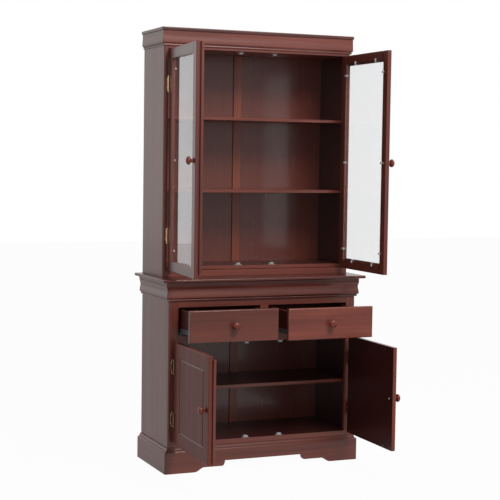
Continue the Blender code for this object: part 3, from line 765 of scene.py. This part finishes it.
# %% Panes
PANE_THICK = 0.004
SIGHT = MEMBER - REBATE           # from a door's edge to the edge of its rebate
for word, door in upper_doors.items():
    x = across(door.side, DOOR_FREE + SIGHT + GAP, DOOR_EDGE - SIGHT - GAP)
    seat = DOOR_BACK - SEAT + GAP
    pane = plank(f"upper_{word}_pane", (x[0], seat, DOOR_LOW + SIGHT + GAP),
                 (x[1], seat + PANE_THICK, DOOR_HIGH - SIGHT - GAP))
    fix(door.hang(break_arrises(pane, 0.0004, 1)), pane_glass, door.body, "door_glass",
        f"{door.body}_glass")
print("panes seated at", round(seat, 4))

# %% [markdown]
# ## Turned knobs
# Six knobs of one pattern: a foot, a thin neck and a ball, turned on a lathe.
# A squashed sphere on a cylinder would look soft at the neck. The half outline is spun once round its
# axis with the spin tool, which is what a lathe does, and then laid over to point forwards.

# %% Turn one knob
def turned(name, profile, steps=40):
    """Spins a half outline of (radius, height) points, from axis to axis, about the Z axis."""
    lay_out(name, [(radius, 0, height) for radius, height in profile], "NOTHING")
    pick("EDGE", both_at("x", 0, 1e-7))
    bpy.ops.mesh.delete(type="EDGE")
    bpy.ops.mesh.select_all(action="SELECT")
    bpy.ops.mesh.spin(steps=steps, angle=2 * math.pi, center=(0, 0, 0), axis=(0, 0, 1))
    bpy.ops.mesh.select_all(action="SELECT")
    bpy.ops.mesh.remove_doubles(threshold=1e-6)
    bpy.ops.mesh.normals_make_consistent(inside=False)
    return close_piece()


def copy_of(piece, name):
    """A copy with its own mesh."""
    twin = piece.copy()
    twin.data = piece.data.copy()
    twin.name = name
    bpy.context.collection.objects.link(twin)
    return twin


ball = arc((0, 0.0218), (0.0172, 0.0107), 90, -60, 18)
neck = [(0.0072, 0.0112), (0.0065, 0.0094), (0.0064, 0.0075), (0.0070, 0.0058), (0.0082, 0.0044)]
foot = arc((0.0092, 0.0016), (0.0022, 0.0018), 90, 0, 5)
knob_profile = [(0, 0.0325)] + ball[1:] + neck + foot + [(0.0114, 0), (0, 0)]
pattern_knob = turned("pattern_knob", knob_profile)
print("knob", [round(size, 4) for size in pattern_knob.dimensions])

# %% Set the doors' knobs
KNOB_X = {"upper": DOOR_FREE + MEMBER / 2, "lower": 0.032}
KNOB_Z = {"upper": 1.336, "lower": 0.3473}
knob_wood = stained("knob_wood", "y", shift=21.0, dark=(0.110, 0.0180, 0.0100, 1),
                    light=(0.210, 0.0420, 0.0240, 1), gloss=0.19, coat=0.10, Specular_IOR_Level=0.32)


def set_knob(name, x, face, z):
    """A copy of the pattern knob, laid over to stand out of a front."""
    laid_over = Matrix.Translation((x, face - GAP, z)) @ Matrix.Rotation(math.pi / 2, 4, "X")
    return put(copy_of(pattern_knob, name), laid_over)


for row, doors, face in (("upper", upper_doors, HUTCH_FRONT), ("lower", lower_doors, LEAF_FACE)):
    for word, door in doors.items():
        knob = set_knob(f"{row}_{word}_turned_knob", door.side * KNOB_X[row], face, KNOB_Z[row])
        fix(door.hang(knob), knob_wood, door.body, "knob_wood", f"{door.body}_knob")
print("four knobs set, the drawers' come with their fronts")

# %% [markdown]
# ## Lower doors
# The lower doors are solid leaves with a routed channel that draws a panel on them.
# A frame and a raised panel would be too much relief: the photograph shows one shallow groove.
# The front face is inset, the new ring is inset again and pushed in, and the groove's edges are rounded.

# %% Routed leaves
LEAF_LOW, LEAF_HIGH = 0.1281, 0.5665
LEAF_EDGE = OPENING_EDGE + 0.0241           # the leaves' hinge edge
PANEL_MARGIN = 0.0595                       # from the leaf's edge to the groove
GROOVE = ((0.0012, -0.0016), (0.0038, -0.0024), (0.0038, 0.0024), (0.0012, 0.0016))     # width, depth
for word, door in lower_doors.items():
    x = across(door.side, LEAF_FREE, LEAF_EDGE)
    leaf = plank(f"lower_{word}_leaf", (x[0], LEAF_FACE, LEAF_LOW), (x[1], LEAF_BACK, LEAF_HIGH))
    open_piece(leaf)
    pick("FACE", lambda face: face.normal.y < -0.9)
    for width, depth in ((PANEL_MARGIN, 0), *GROOVE):
        bpy.ops.mesh.inset(thickness=width, depth=depth)
    close_piece()
    outer = [both_at("x", x[0]), both_at("x", x[1]), both_at("z", LEAF_LOW), both_at("z", LEAF_HIGH)]
    rim = lambda edge: both_at("y", LEAF_FACE)(edge) and any(test(edge) for test in outer)
    round_over(leaf, rim, 0.004, 6)
    open_piece(leaf)
    within = lambda place: (x[0] + 0.05 < place.x < x[1] - 0.05 and place.y < LEAF_BACK - 0.005
                            and LEAF_LOW + 0.05 < place.z < LEAF_HIGH - 0.05)
    pick("EDGE", lambda edge: within(edge.verts[0].co) and edge.calc_face_angle(0) > 0.2)
    bpy.ops.mesh.bevel(offset=0.0008, segments=3, affect="EDGES")
    leaf = break_arrises(close_piece(), 0.0006)
    fix(door.hang(leaf), door_upright[door.body], door.body, "door_wood", f"{door.body}_leaf")
print("leaves hung")

# %% [markdown]
# ## Drawers
# A drawer is a thick front with a rounded rim, screwed to a plain box of four boards and a bottom.
# The frame has the box as one solid. Here each board is its own piece, with the joints a cabinet
# maker would leave: the sides run through, the back stands between them, the bottom sits between all four.

# %% Drawer fronts
def painted_light_and_shade(colour, share):
    """The same stain made lighter (above 1) as painted light, and darker (below 1) as painted shade."""
    return (*(part * share for part in colour[:3]), 1)


# The left front is made darker, as painted shade, and the right one lighter, as painted light, since the
# left drawer gets less light.
for word, share in (("left", 0.86), ("right", 1.22)):
    body = f"drawer_{word}"
    wood = stained(f"{body}_wood", "x", shift=41.0 + 3.3 * SIDES[word], dark=painted_light_and_shade(DARK_STAIN, share),
                   light=painted_light_and_shade(LIGHT_STAIN, share))
    low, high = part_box(f"{body}_front")
    front = round_over(plank(f"{body}_face", low, high), both_at("y", low.y), 0.0055, 7)
    fix(break_arrises(front), wood, body, "door_wood", f"{body}_front")
    knob = set_knob(f"{body}_turned_knob", (low.x + high.x) / 2, low.y, (low.z + high.z) / 2)
    fix(knob, knob_wood, body, "knob_wood", f"{body}_knob")
print("fronts on both drawers")

# %% Drawer boxes
WALL = 0.012                      # the boards of a box
# The box boards' colours are made very dark: painted shade of the drawers' sides and insides.
box_painted_shade = {"dark": (0.050, 0.0115, 0.0085, 1), "light": (0.085, 0.0195, 0.0140, 1), "gloss": 0.46,
             "coat": 0.0, "Specular_IOR_Level": 0.20}
box_side_wood = stained("drawer_side_wood", "y", shift=47.0, **box_painted_shade)
box_cross_wood = stained("drawer_cross_wood", "x", shift=49.0, **box_painted_shade)
for word in SIDES:
    body = f"drawer_{word}"
    low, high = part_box(f"{body}_box")
    near, far = low.x + WALL, high.x - WALL
    boards = [("outer_side", low, (near, high.y, high.z), box_side_wood),
              ("inner_side", (far, low.y, low.z), high, box_side_wood),
              ("back", (near + HAIR, high.y - WALL, low.z), (far - HAIR, high.y, high.z - 0.004),
               box_cross_wood),
              ("inner_front", (near + HAIR, low.y, low.z), (far - HAIR, low.y + WALL, high.z),
               box_cross_wood),
              ("bottom", (near + HAIR, low.y + WALL + HAIR, low.z + 0.001),
               (far - HAIR, high.y - WALL - HAIR, low.z + 0.006), box_cross_wood)]
    for place, start, stop, wood in boards:
        board = break_arrises(plank(f"{body}_{place}", start, stop), 0.001)
        fix(board, wood, body, "back_board", f"{body}_box")
print("drawers dressed")

# %% [markdown]
# ## Metal and plastic finishes
# Small fittings are brass-plated, zinc-plated or coated steel, and moulded plastic.
# A flat colour would look like a toy up close. Each gets a faint mottle in its roughness and tone,
# as plating and mouldings have, and the metals keep their mirror.

# %% Fitting finishes
DULLER = 0.78                     # the dark spots of the mottle against its bright ones


def fitting_finish(name, colour, rough, mottle=0.12, size=260, **constants):
    """A plated or moulded finish with a faint mottle."""
    material, start, shader = new_finish(name, **constants)
    place = start.node("ShaderNodeTexCoord", output="Object")
    cloud = start.node("ShaderNodeTexNoise", {}, {"Vector": place, "Scale": size, "Detail": 3.0})
    dull = tuple(DULLER * level for level in colour)
    feed(cloud.steps((0.3, 0.0), (0.7, 1.0)).mix((*dull, 1), (*colour, 1)), shader, "Base Color")
    feed((cloud - 0.5) * mottle + rough, shader, "Roughness")
    return material


brass = fitting_finish("plated_brass", (0.80, 0.57, 0.36), 0.24, Metallic=1.0)
# A darker copy of the hinge brass for the lower hinges: painted shade, standing in for the dark leaf that
# their plates reflect.
painted_shade_brass = fitting_finish("painted_shade_brass", (0.22, 0.13, 0.085), 0.36, Metallic=1.0)
zinc = fitting_finish("bright_zinc", (0.78, 0.78, 0.80), 0.24, Metallic=1.0)
bronze = fitting_finish("dark_strike", (0.20, 0.17, 0.15), 0.38, Metallic=1.0)
# Its colour is partly the steel's dark grey coat and partly painted shade: it is made darker to stand in
# for the shade along the drawer sides.
coated = fitting_finish("coated_steel", (0.13, 0.13, 0.15), 0.42, 0.06, Specular_IOR_Level=0.30)
nylon = fitting_finish("roller_nylon", (0.74, 0.73, 0.70), 0.42, 0.08)
catch_grey = fitting_finish("catch_plastic", (0.36, 0.33, 0.33), 0.42, 0.08)
clip_white = fitting_finish("clip_plastic", (0.97, 0.97, 0.95), 0.22, 0.06, Transmission_Weight=0.30,
                            IOR=1.49)
print("fittings:", brass.name, painted_shade_brass.name, zinc.name, bronze.name, coated.name)

# %% [markdown]
# ## One screw for everything
# Hinges, clips, catches and knobs are all held by small cross-head screws. One is turned with a slightly
# domed head, and a cross is pressed into it. Copies then go where they are needed. At this size the
# cross is two shallow slots, cut once, so the many copies stay light.

# %% Turn a screw
dome = arc((0, -0.0006), (0.0030, 0.0016), 90, 12, 6)
pattern_screw = turned("pattern_screw", [(0, 0.0010)] + dome[1:] + [(0.0028, -0.0010), (0, -0.0010)], 24)
for half_x, half_y in ((0.0016, 0.00035), (0.00035, 0.0016)):
    cut_out(pattern_screw, plank("slot", (-half_x, -half_y, 0.0003), (half_x, half_y, 0.0015)))
print("screw has", len(pattern_screw.data.polygons), "faces")


def set_screw(name, place, outwards, size=1.0):
    """A copy of the screw with its head at a place, facing outwards."""
    turn = UP.rotation_difference(Vector(outwards)).to_matrix().to_4x4()
    return put(copy_of(pattern_screw, name), Matrix.Translation(place) @ turn @ Matrix.Scale(size, 4))


def joined(name, parts):
    """Joins parts of one fitting into one piece."""
    deselect()
    for part in parts:
        part.select_set(True)
    bpy.context.view_layer.objects.active = parts[0]
    bpy.ops.object.join()
    parts[0].name = name
    return parts[0]


# %% [markdown]
# ## Butt hinges
# Eight brass hinges carry the doors. Each has five knuckles about a pin, a leaf for the case and a leaf
# for the door, and on the front of the case a plate with a bowed outer edge that catches the light.
# A plain rod would do from afar, but the knuckles must part when the door swings, so the case gets
# knuckles one, three and five and the door the other two.

# %% Knuckles and plates
KNUCKLE = 0.0035                  # the radius of a knuckle
NICK = 0.0002                     # half the gap between two knuckles


def knuckles(door, z, length, numbers):
    """Some of the five knuckles of a hinge, with hairline gaps between them."""
    share = length / 5
    made = []
    for number in numbers:
        low = z - length / 2 + share * number + NICK
        ring = [(x, y, low) for x, y in arc((door.pin.x, door.pin.y), (KNUCKLE, KNUCKLE), 0, 345, 23)]
        made.append(run("knuckle", ring, (0, 0, share - 2 * NICK)))
    return made


def pin_heads(door, z, length):
    """The small domes at both ends of the pin."""
    outline = [(0, 0.0012)] + arc((0, 0), (0.0024, 0.0012), 75, 0, 4) + [(0, 0)]
    made = []
    for end in (-1, 1):
        flip = Matrix.Rotation(0 if end > 0 else math.pi, 4, "X")
        place = Matrix.Translation((door.pin.x, door.pin.y, z + end * length / 2)) @ flip
        made.append(put(turned("pin_head", outline, 16), place))
    return made


def bow(side, inner, reach, face, z, height):
    """Points of a bowed edge from its top to its foot."""
    return [(side * (inner + reach * math.cos(math.radians(turn))), face,
             z + height / 2 * math.sin(math.radians(turn))) for turn in range(90, -91, -10)]


def straps(x, face, depth, z, rise, half):
    """The two straps that run from the knuckles round the edge of a door to its leaf."""
    return [plank("strap", (x[0], face - 0.0030, z + place - half), (x[1], face + depth, z + place + half))
            for place in (-rise, rise)]


# %% Whole hinges
def hinge(door, name, z, length, on_case, on_door, metal, node):
    """Both halves of a hinge: their knuckles with the plates that are given for each."""
    half = joined(name, knuckles(door, z, length, (0, 2, 4)) + pin_heads(door, z, length) + on_case)
    fix(half, metal, "case", "hinge_brass", node)
    half = joined(f"{name}_moving", knuckles(door, z, length, (1, 3)) + on_door)
    fix(door.hang(half), metal, door.body, "hinge_brass")


def plate_screws(name, x, y, z, rise):
    """The two screws in the plate on the front of the case."""
    for number, place in enumerate((-rise, rise)):
        screw = set_screw(f"{name}_{number}", (x, y, z + place), (0, -1, 0), 0.60)
        fix(screw, zinc, "case", "hinge_brass")


print("ready to hang hinges on", len(upper_doors) + len(lower_doors), "doors")

# %% Hinges of the upper doors
UPPER_HINGES, UPPER_LENGTH = {"lower": 1.0125, "upper": 1.6595}, 0.068
PLATE_BACK = HUTCH_FRONT - 0.0002
for word, door in upper_doors.items():
    side = door.side
    for level, z in UPPER_HINGES.items():
        foot, head = z - UPPER_LENGTH / 2, z + UPPER_LENGTH / 2
        x = across(side, HUTCH_INNER - 0.0010, HUTCH_INNER - 0.0003)
        case_leaf = plank("leaf", (x[0], PLATE_BACK, foot), (x[1], HUTCH_FRONT + 0.017, head))
        plate = run("plate", bow(side, HUTCH_INNER + 0.0004, 0.0074, PLATE_BACK, z, 0.066), (0, -0.0009, 0))
        x = across(side, DOOR_EDGE - 0.0006, DOOR_EDGE + 0.0001)
        leaf = plank("leaf", (x[0], HUTCH_FRONT + 0.0045, foot), (x[1], HUTCH_FRONT + 0.0165, head))
        on_door = straps(x, HUTCH_FRONT, 0.0046, z, 0.0136, 0.0064) + [leaf]
        hinge(door, f"upper_hinge_{word}_{level}", z, UPPER_LENGTH, [case_leaf, plate], on_door, brass,
              f"hutch_hinge_{word}_{level}")
        plate_screws(f"upper_hinge_screw_{word}_{level}", side * (HUTCH_INNER + 0.0050),
                     HUTCH_FRONT - 0.0012, z, 0.017)
print("upper hinges at", *UPPER_HINGES.values())

# %% Hinges of the lower doors
LOWER_HINGES, LOWER_LENGTH = {"lower": 0.2341, "upper": 0.4605}, 0.063
WRAP = 0.0205                     # half the height of the leaves that wrap the door's edge
for word, door in lower_doors.items():
    side, pin = door.side, abs(door.pin.x)
    for level, z in LOWER_HINGES.items():
        foot, head = z - LOWER_LENGTH / 2, z + LOWER_LENGTH / 2
        x = across(side, pin - 0.0013, pin - 0.0003)
        web = plank("web", (x[0], door.pin.y + 0.0030, foot), (x[1], BASE_FRONT - 0.0004, head))
        edge = pin - 0.0012
        plate = run("plate", bow(side, edge, 0.0080, LEAF_BACK, z, 0.064), (0, -0.0010, 0))
        ring = [bow(side, edge, reach, LEAF_BACK, z, height)
                for reach, height in ((0.0082, 0.066), (0.0066, 0.062))]
        rim = run(f"lower_hinge_rim_{word}_{level}", ring[0] + ring[1][::-1], (0, -0.0018, 0))
        fix(break_arrises(rim, 0.0006, 3), brass, "case", "hinge_brass")
        x = across(side, LEAF_EDGE - 0.0006, LEAF_EDGE + 0.0001)
        inner = across(side, LEAF_EDGE - 0.0135, LEAF_EDGE - 0.0003)
        on_door = [plank("edge_leaf", (x[0], LEAF_FACE + 0.0042, z - WRAP), (x[1], LEAF_BACK, z + WRAP)),
                   plank("inner_leaf", (inner[0], LEAF_BACK - 0.0008, z - WRAP),
                         (inner[1], LEAF_BACK + 0.0001, z + WRAP))]
        on_door += straps(x, LEAF_FACE, 0.0043, z, 0.0126, 0.0058)
        # Plates and knuckles take the painted shade brass; only the rim is the bright brass.
        hinge(door, f"lower_hinge_{word}_{level}", z, LOWER_LENGTH, [web, plate], on_door, painted_shade_brass,
              f"base_hinge_{word}_{level}")
        plate_screws(f"lower_hinge_screw_{word}_{level}", side * (pin + 0.0045), BASE_FRONT - 0.0014, z,
                     0.018)
print("lower hinges at", *LOWER_HINGES.values())

# %% [markdown]
# ## Glass clips
# The panes are held in their rebates by small milky plastic clips, ten to a door, each a pear shape with
# its screw in the narrow end and its wide end over the glass. One is drawn in plan, pushed to its
# thickness and softened, and copies are turned to face the pane from all four sides.

# %% Mould one clip
SCREW_END = -0.0062               # the middle of the narrow end, where the screw sits
wide_end = arc((0.0042, 0), (0.0050, 0.0050), -70, 70, 10)
narrow_end = arc((SCREW_END, 0), (0.0032, 0.0032), 80, 280, 9)
pattern_clip = run("pattern_clip", [(x, y, 0) for x, y in wide_end + narrow_end], (0, 0, 0.0044))
open_piece(pattern_clip)
pick("FACE", lambda face: face.normal.z > 0.9)
bpy.ops.mesh.inset(thickness=0.0006, depth=0.0005)
pick("VERT", lambda vert: vert.co.z > 0.002 and vert.co.x > 0)
bpy.ops.transform.translate(value=(0, 0, -0.0022))
close_piece()
tip = plank("tip", (0.0042, -0.0036, -0.0034), (0.0090, 0.0036, 0.0006))
pattern_clip = joined("pattern_clip", [pattern_clip, break_arrises(tip, 0.0004)])
print("clip", [round(size, 4) for size in pattern_clip.dimensions])


def set_clip(name, x, z, towards):
    """A clip on the back of a shut door at the edge of its rebate, pointing to the pane."""
    turn = math.atan2(towards[1], towards[0])
    place = (Matrix.Translation((x, DOOR_BACK + HAIR, z)) @ Matrix.Rotation(-math.pi / 2, 4, "X")
             @ Matrix.Rotation(-turn, 4, "Z"))
    clip = put(copy_of(pattern_clip, name), place)
    return clip, set_screw(f"{name}_screw", place @ Vector((SCREW_END, 0, 0.0052)), (0, 1, 0), 0.75)


# %% Ten clips a door
RAIL_SHARES = (0.20, 0.74)        # how far along each rail its two clips sit
STILE_ENDS = 0.050                # from the ends of the rebate to the outer clips of a stile
for word, door in upper_doors.items():
    side = door.side
    inner, outer = DOOR_FREE + SIGHT, DOOR_EDGE - SIGHT
    low, high = DOOR_LOW + SIGHT, DOOR_HIGH - SIGHT
    spots = [(side * (inner + (outer - inner) * share), z, (0, way))
             for share in RAIL_SHARES for z, way in ((low, 1), (high, -1))]
    spots += [(side * x, z, (side * way, 0)) for x, way in ((inner, 1), (outer, -1))
              for z in (low + STILE_ENDS, (low + high) / 2, high - STILE_ENDS)]
    for number, (x, z, towards) in enumerate(spots):
        clip, screw = set_clip(f"clip_{word}_{number}", x, z, towards)
        fix(door.hang(clip), clip_white, door.body, "door_glass")
        fix(door.hang(screw), zinc, door.body, "hinge_brass")
print("clips:", len(spots), "a door")

# %% [markdown]
# ## Knob screws
# A knob is drawn tight by a pan-head screw from behind, which shows as a bright dot on the inner face of
# a door. The pattern screw could be modelled again at that size, but a larger copy of it does.

# %% Screws behind the knobs
for row, word, back in (("upper", "right", DOOR_BACK), ("lower", "left", LEAF_BACK),
                        ("lower", "right", LEAF_BACK)):
    door = (upper_doors if row == "upper" else lower_doors)[word]
    place = (door.side * KNOB_X[row], back + 0.0010, KNOB_Z[row])
    screw = set_screw(f"knob_screw_{row}_{word}", place, (0, 1, 0), 1.3)
    fix(door.hang(screw), zinc, door.body, "hinge_brass")
print("knob screws set")

# %% [markdown]
# ## Magnetic catches
# Under the ceiling board, under the middle rail and on both floors sit small magnetic catches, two to a
# level, one for each door. Each is a moulded body with two fixing ears and a pair of steel poles that
# meet a strike plate on the door. Body and ears are one moulding, so they are joined. A hollow body
# would take more faces, and nobody could look into it.

# %% Catches and strikes
def catch(name, x, front, level, way):
    """A catch that stands on a board at a level, upwards or downwards, with its poles forward."""
    def block(part, middle, half, depths, heights):
        """A block by its half width, its depths behind the front and its heights off the board."""
        near, far = (front + depth for depth in depths)
        low, high = sorted(level + way * height for height in heights)
        return plank(part, (middle - half, near, low), (middle + half, far, high))

    body = break_arrises(block("body", x, 0.0095, (0.001, 0.016), (0.0002, 0.0105)), 0.0014, 3)
    ears = break_arrises(block("ears", x, 0.0160, (0.003, 0.014), (0.0002, 0.0030)), 0.0009)
    fix(joined(name, [body, ears]), catch_grey, "case", "runner_steel")
    poles = [block("pole", x + place, 0.0012, (0, 0.006), (0.0030, 0.0092)) for place in (-0.004, 0.004)]
    fix(joined(f"{name}_poles", poles), zinc, "case", "runner_steel")
    for number, place in enumerate((-0.0128, 0.0128)):
        head = (x + place, front + 0.0085, level + way * 0.0034)
        fix(set_screw(f"{name}_screw_{number}", head, (0, 0, way), 0.62), zinc, "case", "runner_steel")


CATCH_X = 0.080                   # from the middle of the cabinet
STRIKE = (0.0085, 0.0042)         # half the width and half the height of a strike plate
for word, side in SIDES.items():
    x = side * CATCH_X
    catch(f"catch_upper_{word}_top", x, DOOR_BACK + 0.0012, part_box("hutch_ceiling")[0].z, -1)
    catch(f"catch_upper_{word}_bottom", x, DOOR_BACK + 0.0018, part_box("hutch_floor")[1].z, 1)
    catch(f"catch_lower_{word}_top", x, BASE_FRONT + 0.0008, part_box("base_mid_rail")[0].z, -1)
    catch(f"catch_lower_{word}_bottom", x, BASE_FRONT + 0.0008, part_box("base_floor")[1].z, 1)
    for door, back, levels in ((upper_doors[word], DOOR_BACK, (0.8842, 1.8050)),
                               (lower_doors[word], LEAF_BACK, (0.1373, 0.5497))):
        for number, z in enumerate(levels):
            low = (x - STRIKE[0], back - 0.0006, z - STRIKE[1])
            high = (x + STRIKE[0], back + 0.0002, z + STRIKE[1])
            strike = break_arrises(plank(f"strike_{door.body}_{number}", low, high), 0.0003)
            fix(door.hang(strike), bronze, door.body, "runner_steel")
print("catches and strikes set")

# %% [markdown]
# ## Drawer runners
# The drawers run on coated steel: a channel on each side of the opening with a nylon roller at its front,
# and a flat strip along the bottom of each drawer side.
# The frame has solid bars there. The real section is folded sheet, so it is drawn as one thin outline and
# pushed to length.

# %% Channels and rollers
SHEET, LIP = 0.0012, 0.0042       # the thickness of the folded sheet, and the height of its lip
hub = [(0, 0.0035), (0.0015, 0.0035), (0.0018, 0.0030), (0.0030, 0.0030), (0.0036, 0.0035)]
tread = arc((0.0036, 0.0028), (0.0007, 0.0007), 60, 0, 2) + [(0.0043, -0.0035), (0, -0.0035)]
for word, side in SIDES.items():
    for place in ("inner", "outer"):
        low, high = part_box(f"runner_{word}_{place}")
        wall, lip = (low.x, high.x) if (place == "inner") == (side > 0) else (high.x, low.x)
        way = 1 if lip > wall else -1
        fold, face = lip - way * SHEET, wall + way * SHEET
        section = [(wall, high.z), (wall, low.z), (lip, low.z), (lip, low.z + LIP), (fold, low.z + LIP),
                   (fold, low.z + SHEET), (face, low.z + SHEET), (face, high.z)]
        channel = run(f"runner_{word}_{place}_channel", [(x, low.y, z) for x, z in section],
                      (0, high.y - low.y, 0))
        fix(channel, coated, "case", "runner_steel", f"runner_{word}_{place}")
        axle = Matrix.Translation((wall + way * 0.0150, low.y + 0.012, low.z + 0.0056))
        wheel = turned(f"roller_{word}_{place}", hub + tread, 24)
        fix(put(wheel, axle @ Matrix.Rotation(math.pi / 2, 4, "Y")), nylon, "case", "runner_steel")
    low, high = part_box(f"drawer_{word}_box")
    for place, x, way in (("a", low.x, -1), ("b", high.x, 1)):
        near, far = sorted((x + way * HAIR, x + way * SHEET))
        strip = plank(f"drawer_{word}_strip_{place}", (near, low.y + 0.0006, low.z + 0.0003),
                      (far, high.y - 0.004, low.z + 0.0210))
        fix(break_arrises(strip, 0.0003, 1), coated, f"drawer_{word}", "runner_steel")
print("runners folded")

# %% [markdown]
# ## Screws in the back
# The back boards are thin and are screwed to the case all round and to the muntin. Nobody sees them in
# the room, but anyone who turns the cabinet does. An array modifier could repeat one screw, but each
# screw is to be a piece of its own.

# %% Back screws
COLUMNS = {"left": -0.414, "middle": 0.0, "right": 0.414}
for part, low_z, high_z, count in (("lower", 0.135, 0.795, 4), ("upper", 0.860, 1.865, 6)):
    for number in range(count):
        z = low_z + (high_z - low_z) * number / (count - 1)
        for column, x in COLUMNS.items():
            place = (x, BACK_PLANE - 0.0013, z)
            screw = set_screw(f"back_screw_{part}_{column}_{number}", place, (0, 1, 0))
            fix(screw, zinc, "case", "runner_steel")
print("back screwed on")

# %% [markdown]
# ## Camera
# The photograph was taken from the left at chest height with a long lens. The camera's place and turn
# were solved from the cabinet's own edges, so they are set as numbers and not aimed by eye.

# %% Camera
bpy.ops.object.camera_add()
camera = bpy.context.object
yaw, pitch, roll = (math.radians(turn) for turn in (22.98, 3.85, 0.812))
ahead = Vector((math.sin(yaw) * math.cos(pitch), math.cos(yaw) * math.cos(pitch), -math.sin(pitch)))
level = Vector((math.cos(yaw), -math.sin(yaw), 0))
raised = level.cross(ahead)
right = level * math.cos(roll) + raised * math.sin(roll)
top = raised * math.cos(roll) - level * math.sin(roll)
stand = Matrix.Translation((-2.3274, -5.6655, 1.3414))
camera.matrix_world = stand @ Matrix((right, top, -ahead)).transposed().to_4x4()
camera.data.lens, camera.data.sensor_width = 96.27, 36
bpy.context.scene.camera = camera
bpy.context.scene.view_settings.view_transform = "Standard"
print("lens", round(camera.data.lens, 2), "mm")

# %% [markdown]
# ## Light and floor
# A product studio: white all round, one large soft lamp high in front on the right, and a soft fill.
# The white that the camera, the lacquer and the glass see is a matter of colour, not of more light,
# so the world is white to those rays. To the wood it is a soft dome, brightest in front a little to the
# right, with a weaker part high behind on the left, which leaves the left end and the inside darker.
# The floor does the same and keeps a shadow. A room of white walls would light the cabinet too evenly.

# %% Studio
world = bpy.data.worlds.new("studio")
bpy.context.scene.world = world
world.use_nodes = True
sky = Shade(world.node_tree)
direction = sky.node("ShaderNodeTexCoord", output="Generated")


def lobe(x, y, z, narrow=2):
    """1 towards one side of the room, falling softly to 0 at right angles to it."""
    towards = Vector((x, y, z)).normalized()
    facing = sky.node("ShaderNodeVectorMath", {"operation": "DOT_PRODUCT"},
                      {0: direction, 1: towards}, "Value")
    facing = facing.sum("MAXIMUM", facing, 0.0)
    return facing.sum("POWER", facing, narrow)


soft = lobe(0.30, -1.0, 0.15, 4) * 1.25 + lobe(-1.0, 0.6, 0.8) * 0.40 + 0.03
white = seen(sky, "Is Camera Ray", "Is Transmission Ray")
mirrored = seen(sky, "Is Glossy Ray") * (1 - lobe(0.3, -1.0, 0.1) * 0.5)
strength = white + (1 - white) * mirrored.sum("MAXIMUM", mirrored, (1 - seen(sky, "Is Glossy Ray")) * soft)
backdrop = world.node_tree.nodes["Background"]
backdrop.inputs["Color"].default_value = (1, 1, 1, 1)
feed(strength, backdrop, "Strength")
print("world has", len(world.node_tree.nodes), "nodes")

# %% Key lamp
def lamp(name, place, aim, size, power):
    """A large soft lamp, whose light passes the panes once, as light, and not a second time as an image."""
    bpy.ops.object.light_add(type="AREA", location=place)
    made = bpy.context.object
    made.name = name
    made.data.shape, made.data.size, made.data.energy = "DISK", size, power
    made.visible_transmission = False
    made.rotation_euler = (Vector(aim) - Vector(place)).to_track_quat("-Z", "Y").to_euler()
    return made


key = lamp("key", (0.7, -3.2, 4.2), (0, -0.3, 1.0), 1.8, 152)
print(key.name, "lamp", round(key.data.size, 2), "m across")

# %% Paper floor
UNDER_FEET = 0.0005
bpy.ops.mesh.primitive_plane_add(size=30, location=(0, 0, -UNDER_FEET))
floor = bpy.context.object
floor.name = "floor"
paper, start, matt = new_finish("paper", Roughness=0.9)
matt.inputs["Base Color"].default_value = (0.62, 0.62, 0.62, 1)
glow = start.node("ShaderNodeEmission", {}, {"Color": (1, 1, 1, 1), "Strength": 1.0})
depth = start.node("ShaderNodeSeparateXYZ", {}, {0: start.node("ShaderNodeTexCoord", output="Object")}, 1)
sweep = start.node("ShaderNodeMapRange", {}, {"Value": depth, "From Min": -2.6, "From Max": -0.2,
                                              "To Max": 0.55})
share = seen(start, "Is Camera Ray", "Is Transmission Ray") * 0.968 + seen(start, "Is Glossy Ray") * sweep
both = start.node("ShaderNodeMixShader", {}, {0: share, 1: Shade(start.tree, matt.outputs[0]), 2: glow})
feed(both, paper.node_tree.nodes["Material Output"], "Surface")
floor.data.materials.append(paper)
print("floor laid", UNDER_FEET, "m under the feet")

# %% [markdown]
# ## Clearing away the patterns
# The pattern knob, screw and clip were only patterns and go.

# %% Clear away the patterns
for pattern in (pattern_knob, pattern_screw, pattern_clip):
    bpy.data.objects.remove(pattern, do_unlink=True)
